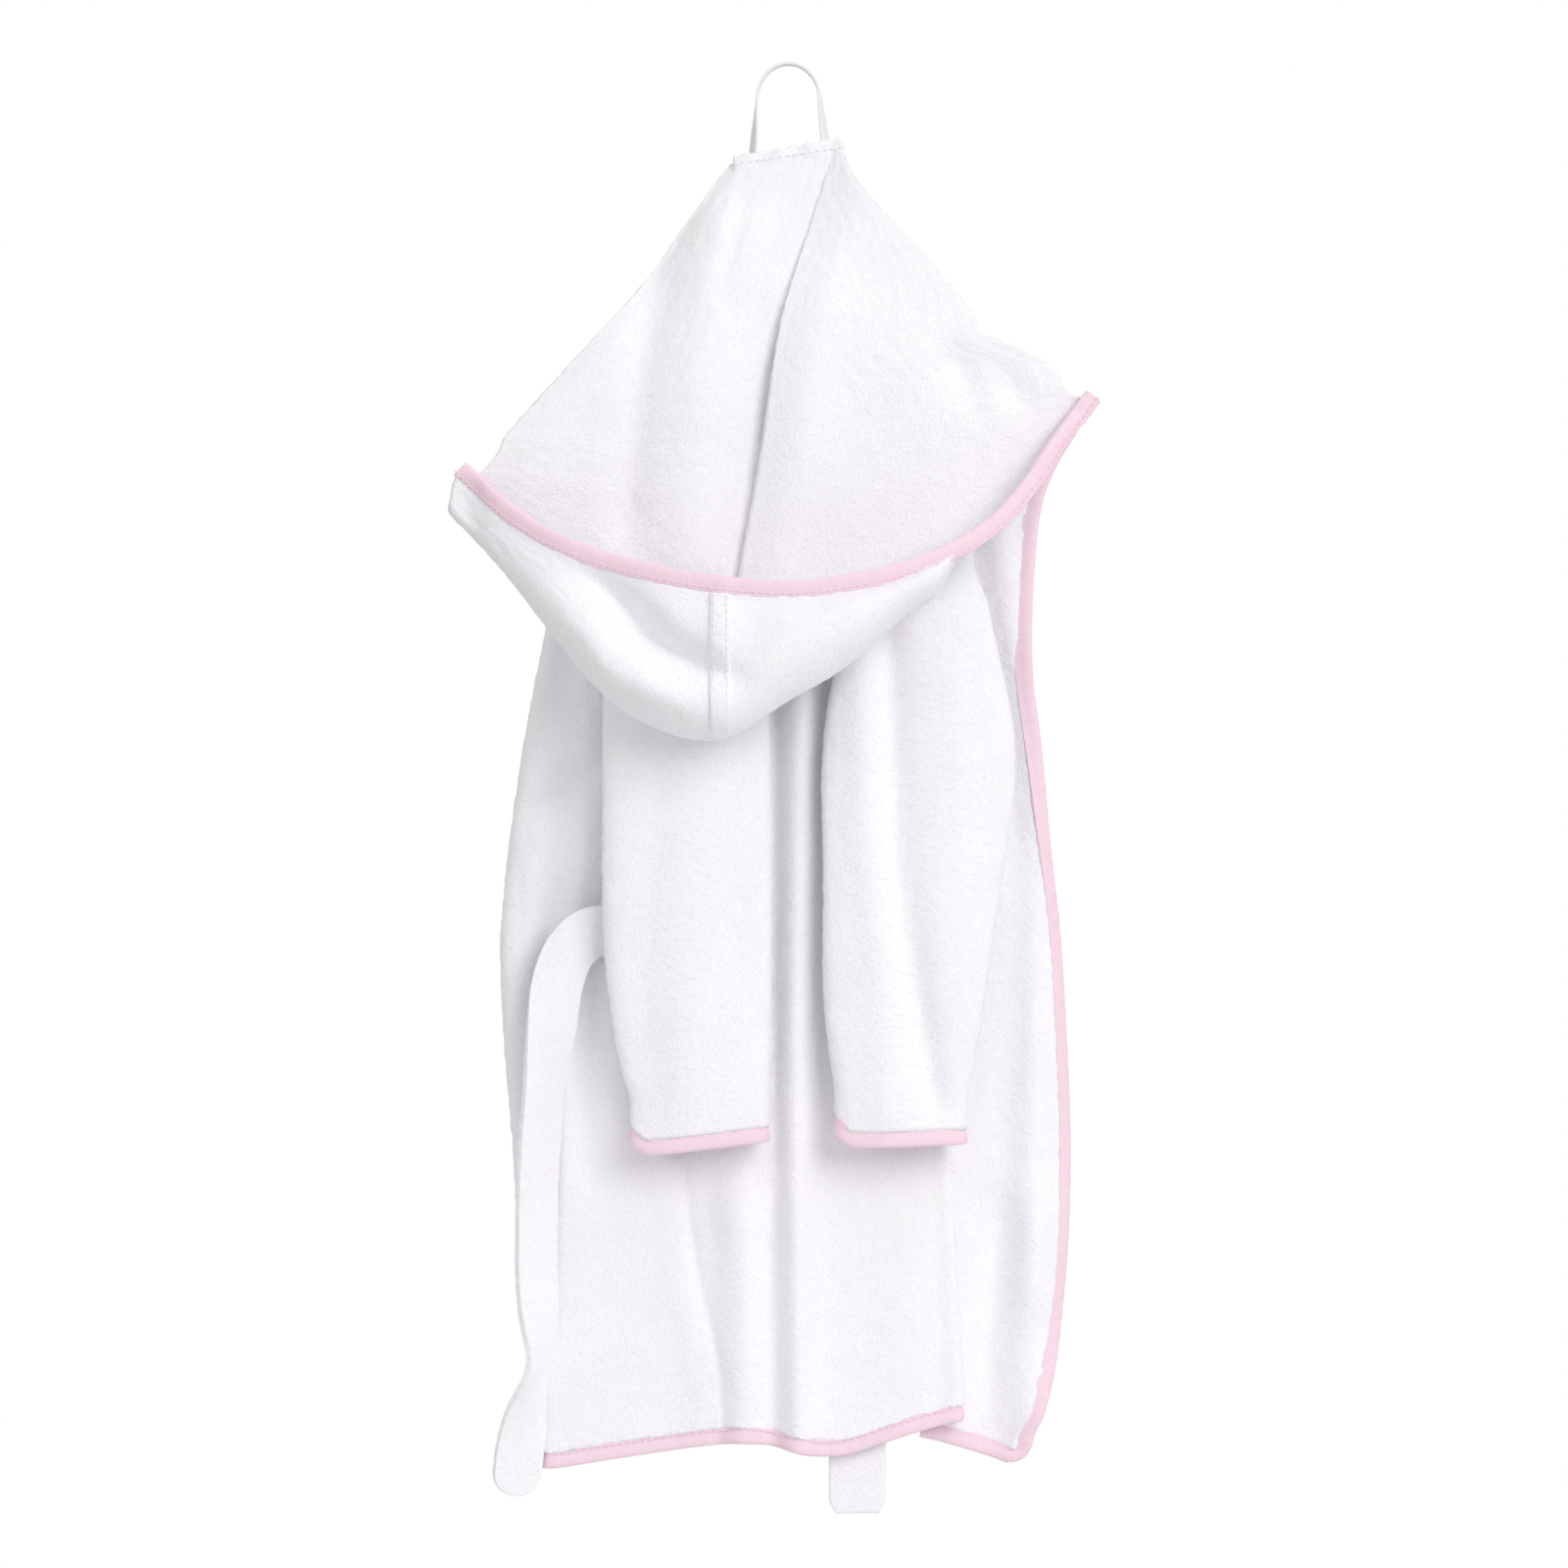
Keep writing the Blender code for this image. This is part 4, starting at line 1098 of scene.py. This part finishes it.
def left_folds(x, z):
    """Depth of the left front's folds."""
    y = dent(x, z, (-0.1000, 0.3260), (0.022, 0.0070), 38, 0.0050)
    y -= dent(x, z, (-0.1080, 0.3080), (0.022, 0.0100), 40, 0.0042)
    y -= fold(x, z, [(0.250, -0.1080), (0.340, -0.1130), (0.430, -0.1210), (0.520, -0.1190)], 0.0080, 0.0026)
    y += fold(x, z, [(0.360, -0.1030), (0.440, -0.1130), (0.560, -0.1080)], 0.0060, 0.0026)
    y -= 0.0080 * ease((x + 0.112) / 0.026) * (1 - ease((-z - 0.350) / 0.040))
    return y + waves(x, z, 0.050, 0.0008, 23)


def left_front(u, v):
    """From the side seam to the fold, round it, and back behind."""
    z_guess = mix(left_high.z - 0.085, left_low.z + 0.030, v)
    x_fold = left_fold(z_guess) + 0.004 * ease((v - 0.88) / 0.12)
    turn = math.pi * left_roll
    flat = (left_high.x - SEAM_TUCK) - (x_fold + TERRY / 2 + left_roll)
    total = flat + turn + LEFT_RETURN
    run = u * total
    angle = np.clip((run - flat) / left_roll, 0, math.pi)
    past = np.clip(run - flat - turn, 0, None)
    x = (left_high.x - SEAM_TUCK) - np.minimum(run, flat) - left_roll * np.sin(angle) + past
    held = np.where(angle > 0, x_fold + TERRY / 2 + left_roll, x)
    z = mix(left_top(held), left_hem(held), v) - TOP_SAG * (1 - v) ** 3
    y = left_y + left_roll * (1 - np.cos(angle))
    y = y + left_folds(x, z) * (1 - ease(angle / math.pi * 1.3)) * (0.4 + 0.6 * ease(run / 0.015))
    return np.stack([x, y, z], 1)


LEFT_CUT = (0.125, 0.54)
left, left_area = terry_cloth("left_front_cloth", 0.10, 0.50, left_front)
wear(left, terry, ["left_front_panel"])

# %% The left front's bound edges
behind_path = left_front(np.ones_like(edge_run), edge_run) + np.array([0.0022, 0, 0])
low_run = np.linspace(0.02, 0.97, 90)
low_path = left_front(low_run, np.ones_like(low_run)) + DOWN * 0.0022
left_edges = [binding("left_front_edge", behind_path, (1, 0, 0), 0.0050, "left_front_binding", "left_front",
                      seed=8)[0],
              binding("left_front_hem_edge", low_path, DOWN, 0.0048, "left_front_hem_binding", "left_front",
                      seed=9)[0]]

# %% [markdown]
# ## Sleeves
#
# A sleeve is a tube that hangs flat: two layers of terry with soft rolls along both sides. It is open at
# the cuff, where a pink ring binds it, and at its head it spreads onto the back at the armhole.

# %% A sleeve
SLEEVE_RISE = 0.020
SLEEVE_DROP = 0.006


def sleeve_shape(node_name, tilt, corner_lift, creases):
    """A sleeve's shape: u runs round it from the middle of its back, and v down it."""
    low_end, high_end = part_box(node_name)
    last = low_end.z - SLEEVE_DROP
    left_side = line([node_name], Z, low_end.z + 0.007, high_end.z - 0.001, X, min)
    right_side = line([node_name], Z, low_end.z + 0.007, high_end.z - 0.001, X, max)
    middle_y = (low_end.y + high_end.y) / 2
    head = high_end.z + SLEEVE_RISE

    def place(u, v):
        z = mix(head, last, v)
        a, b = left_side(z), right_side(z)
        middle, half = (a + b) / 2, (b - a) / 2 - TERRY / 2
        angle = math.tau * u + math.pi / 2
        c, s = np.cos(angle), np.sin(angle)
        across = np.sign(c) * abs(c) ** 0.78
        risen = ease((z - (high_end.z - 0.030)) / (SLEEVE_RISE + 0.030))
        deep = mix(0.0068, 0.0020, risen)
        x = middle + half * across * (1 - 0.06 * risen)
        y = mix(middle_y, -0.0058, risen) + deep * np.sign(s) * abs(s) ** 0.72
        front = ease(-s / 0.5)
        y = y + creases(x, z) * front * (1 - 0.5 * ease(s / 0.5)) + waves(x, z + s * 0.02, 0.055, 0.0005, 31)
        hem = tilt * (x - middle) + corner_lift * ease((-across - 0.62) / 0.38) * ease((s + 0.9) / 0.9)
        return np.stack([x, y, z + hem * v ** 3 - 0.014 * risen * across ** 2], 1)

    return place


# %% The two sleeves
def left_creases(x, z):
    y = fold(x, z, [(0.300, -0.0560), (0.400, -0.0640), (0.470, -0.0600)], 0.0090, 0.0012)
    return y - fold(x, z, [(0.260, -0.0420), (0.360, -0.0430), (0.480, -0.0400)], 0.0160, 0.0014)


def right_creases(x, z):
    y = fold(x, z, [(0.250, 0.0440), (0.300, 0.0465), (0.366, 0.0500), (0.420, 0.0580), (0.470, 0.0660)],
             0.0068, 0.0050)
    y -= fold(x, z, [(0.250, 0.0330), (0.330, 0.0340), (0.420, 0.0420), (0.480, 0.0440)], 0.0080, 0.0020)
    return y - fold(x, z, [(0.260, 0.0680), (0.330, 0.0760), (0.420, 0.0700)], 0.0120, 0.0014)


SLEEVE_CUT = (0.19, 0.30)
sleeves = []
for side, tilt, lift, creases in (("left", 0.12, 0.0075, left_creases),
                                  ("right", 0.03, 0.0085, right_creases)):
    arm = side + "_arm"
    shape = sleeve_shape(side + "_sleeve", tilt, lift, creases)
    sleeve, area = terry_cloth(side + "_sleeve_cloth", 0.165, 0.275, shape, tube=True)
    wear(sleeve, terry, [side + "_sleeve"])
    ring = np.linspace(0, 1, 120)
    ring_path = shape(ring, np.ones_like(ring)) + DOWN * 0.0029
    cuff, cuff_inner, cuff_out = binding(side + "_cuff_edge", ring_path, DOWN, 0.0050, side + "_cuff_binding",
                                         arm, closed=True, seed=12)
    outer_row = both_sides(cuff_inner, cuff_out, 0.0019)[:1]
    stitches(side + "_cuff_stitches", outer_row, pink_thread, arm)
    sleeves.append((side, sleeve, area, cuff))

# %% [markdown]
# ## Ties
#
# The belt is two ties sewn into the side seams. Each is a flat tube of terry, turned right side out, so it
# is soft at its edges and rounded at its end. The left one comes out sideways, bends down, and turns over
# once on its way.

# %% A tie along a route
TIE_THICKNESS = 0.0030


def tie(name, route, width, twist, node_name, body, end_shape):
    """A tie along a route, turned about it by twist(v), and its length."""
    path, tangent, run = along(route, 0.0018)
    side = unit(np.cross(tangent, (0, 1, 0)))

    def place(u, v):
        row = np.rint(v * (len(path) - 1)).astype(int)
        turned = twist(v)[:, None]
        share = end_shape((1 - v) * run[-1])
        across = side[row] * np.cos(turned) + np.array([0, 1, 0]) * np.sin(turned)
        return path[row] + across * ((u - 0.5) * width * share)[:, None]

    piece = placed_grid(name, 16, len(path) - 1, width, run[-1], place)
    thicken(piece, TIE_THICKNESS, 0.42, 3, LOOP_HEIGHT * 0.8)
    wear(piece, terry, [node_name])
    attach(piece, body)
    print(f"{name}: {run[-1] * 1000:.0f} mm long")
    return piece, run[-1]


# %% The left tie
def rounded(left_over):
    """The last centimetre of a tie narrows to a round end."""
    t = np.clip(1 - left_over / 0.011, 0, 1)
    return np.sqrt(np.clip(1 - 0.93 * t ** 2.2, 0.03, 1))


LEFT_TIE_WIDTH, RIGHT_TIE_WIDTH = 0.0230, 0.0255
left_root = np.array(joint("left_tie_swing")["pos_m"])
LEFT_ROUTE = [(0.004, 0, 0.001), (-0.012, 0, 0.003), (-0.0232, 0, 0.002), (-0.032, -0.0010, -0.006),
              (-0.0375, -0.0028, -0.020), (-0.0398, -0.0042, -0.037), (-0.0428, -0.0054, -0.0614),
              (-0.0462, -0.0058, -0.105), (-0.0468, -0.0058, -0.1486), (-0.0460, -0.0058, -0.192),
              (-0.0525, -0.002, -0.218), (-0.057, 0, -0.2500)]
route_steps = np.array(LEFT_ROUTE)
route_run = np.concatenate([[0], np.cumsum(np.linalg.norm(np.diff(route_steps, axis=0), axis=1))])
fine_run = np.linspace(0, route_run[-1], 200)
left_path = left_root + np.stack(
    [drawn(list(zip(route_run, route_steps[:, k])), fine_run) for k in range(3)], 1)


def left_twist(v):
    """Flat at its root, half turned on its way down, on edge near its end."""
    return (0.08 + 0.68 * ease((v - 0.16) / 0.22) + 0.45 * np.exp(-((v - 0.79) / 0.060) ** 2)
            - 0.30 * ease((v - 0.82) / 0.12))


left_tie, left_length = tie("left_tie_cloth", left_path, LEFT_TIE_WIDTH, left_twist, "left_tie", "left_belt",
                            rounded)

# %% The right tie
right_root = np.array(joint("right_tie_swing")["pos_m"])
right_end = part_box("right_tie")[0].z + 0.001
sway = 0.0015 * np.sin(np.linspace(0, 5, 120))
right_path = np.stack([right_root[0] + sway, np.full(120, right_root[1] + 0.0006),
                       np.linspace(right_root[2] + 0.004, right_end, 120)], 1)


def cut_corners(left_over):
    """A square end with its two corners taken off."""
    t = np.clip(1 - left_over / 0.006, 0, 1)
    return 1 - 0.26 * t ** 1.4


right_tie, right_length = tie("right_tie_cloth", right_path, RIGHT_TIE_WIDTH, lambda v: 0.06 * np.sin(v * 6),
                              "right_tie", "right_belt", cut_corners)

# %% [markdown]
# ## Baking the sheets
#
# A cloth that crosses a joint must bend there: the hood along its hinge line, each sleeve at its head, and
# each front along its side seam. Here the hood halves, the sleeves and the fronts only have their transforms
# baked into their meshes, and each sheet's area is printed beside the size of the cut that it is sewn from.

# %% Baking the transforms
across_hinge = Vector((-hinge_axis.z, 0, hinge_axis.x)).normalized()
if across_hinge.z < 0:
    across_hinge = -across_hinge
for half, area in hood_sides:
    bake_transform(half)

for side, sleeve, area, cuff in sleeves:
    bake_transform(sleeve)

FRONTS = (("left", -1, left, left_area, LEFT_CUT, left_edges),
          ("right", 1, right, right_area, RIGHT_CUT, right_edges))
for side, sign, panel, area, cut, edges in FRONTS:
    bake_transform(panel)

for name, area, size in (("hood half", hood_sides[0][1], HOOD_CUT), ("hood half", hood_sides[1][1], HOOD_CUT),
                         ("sleeve", sleeves[0][2], SLEEVE_CUT), ("back", back_area, BACK_CUT),
                         ("left front", left_area, LEFT_CUT), ("right front", right_area, RIGHT_CUT)):
    print(f"{name}: {area * 1e4:.0f} of {size[0] * size[1] * 1e4:.0f} square centimetres")
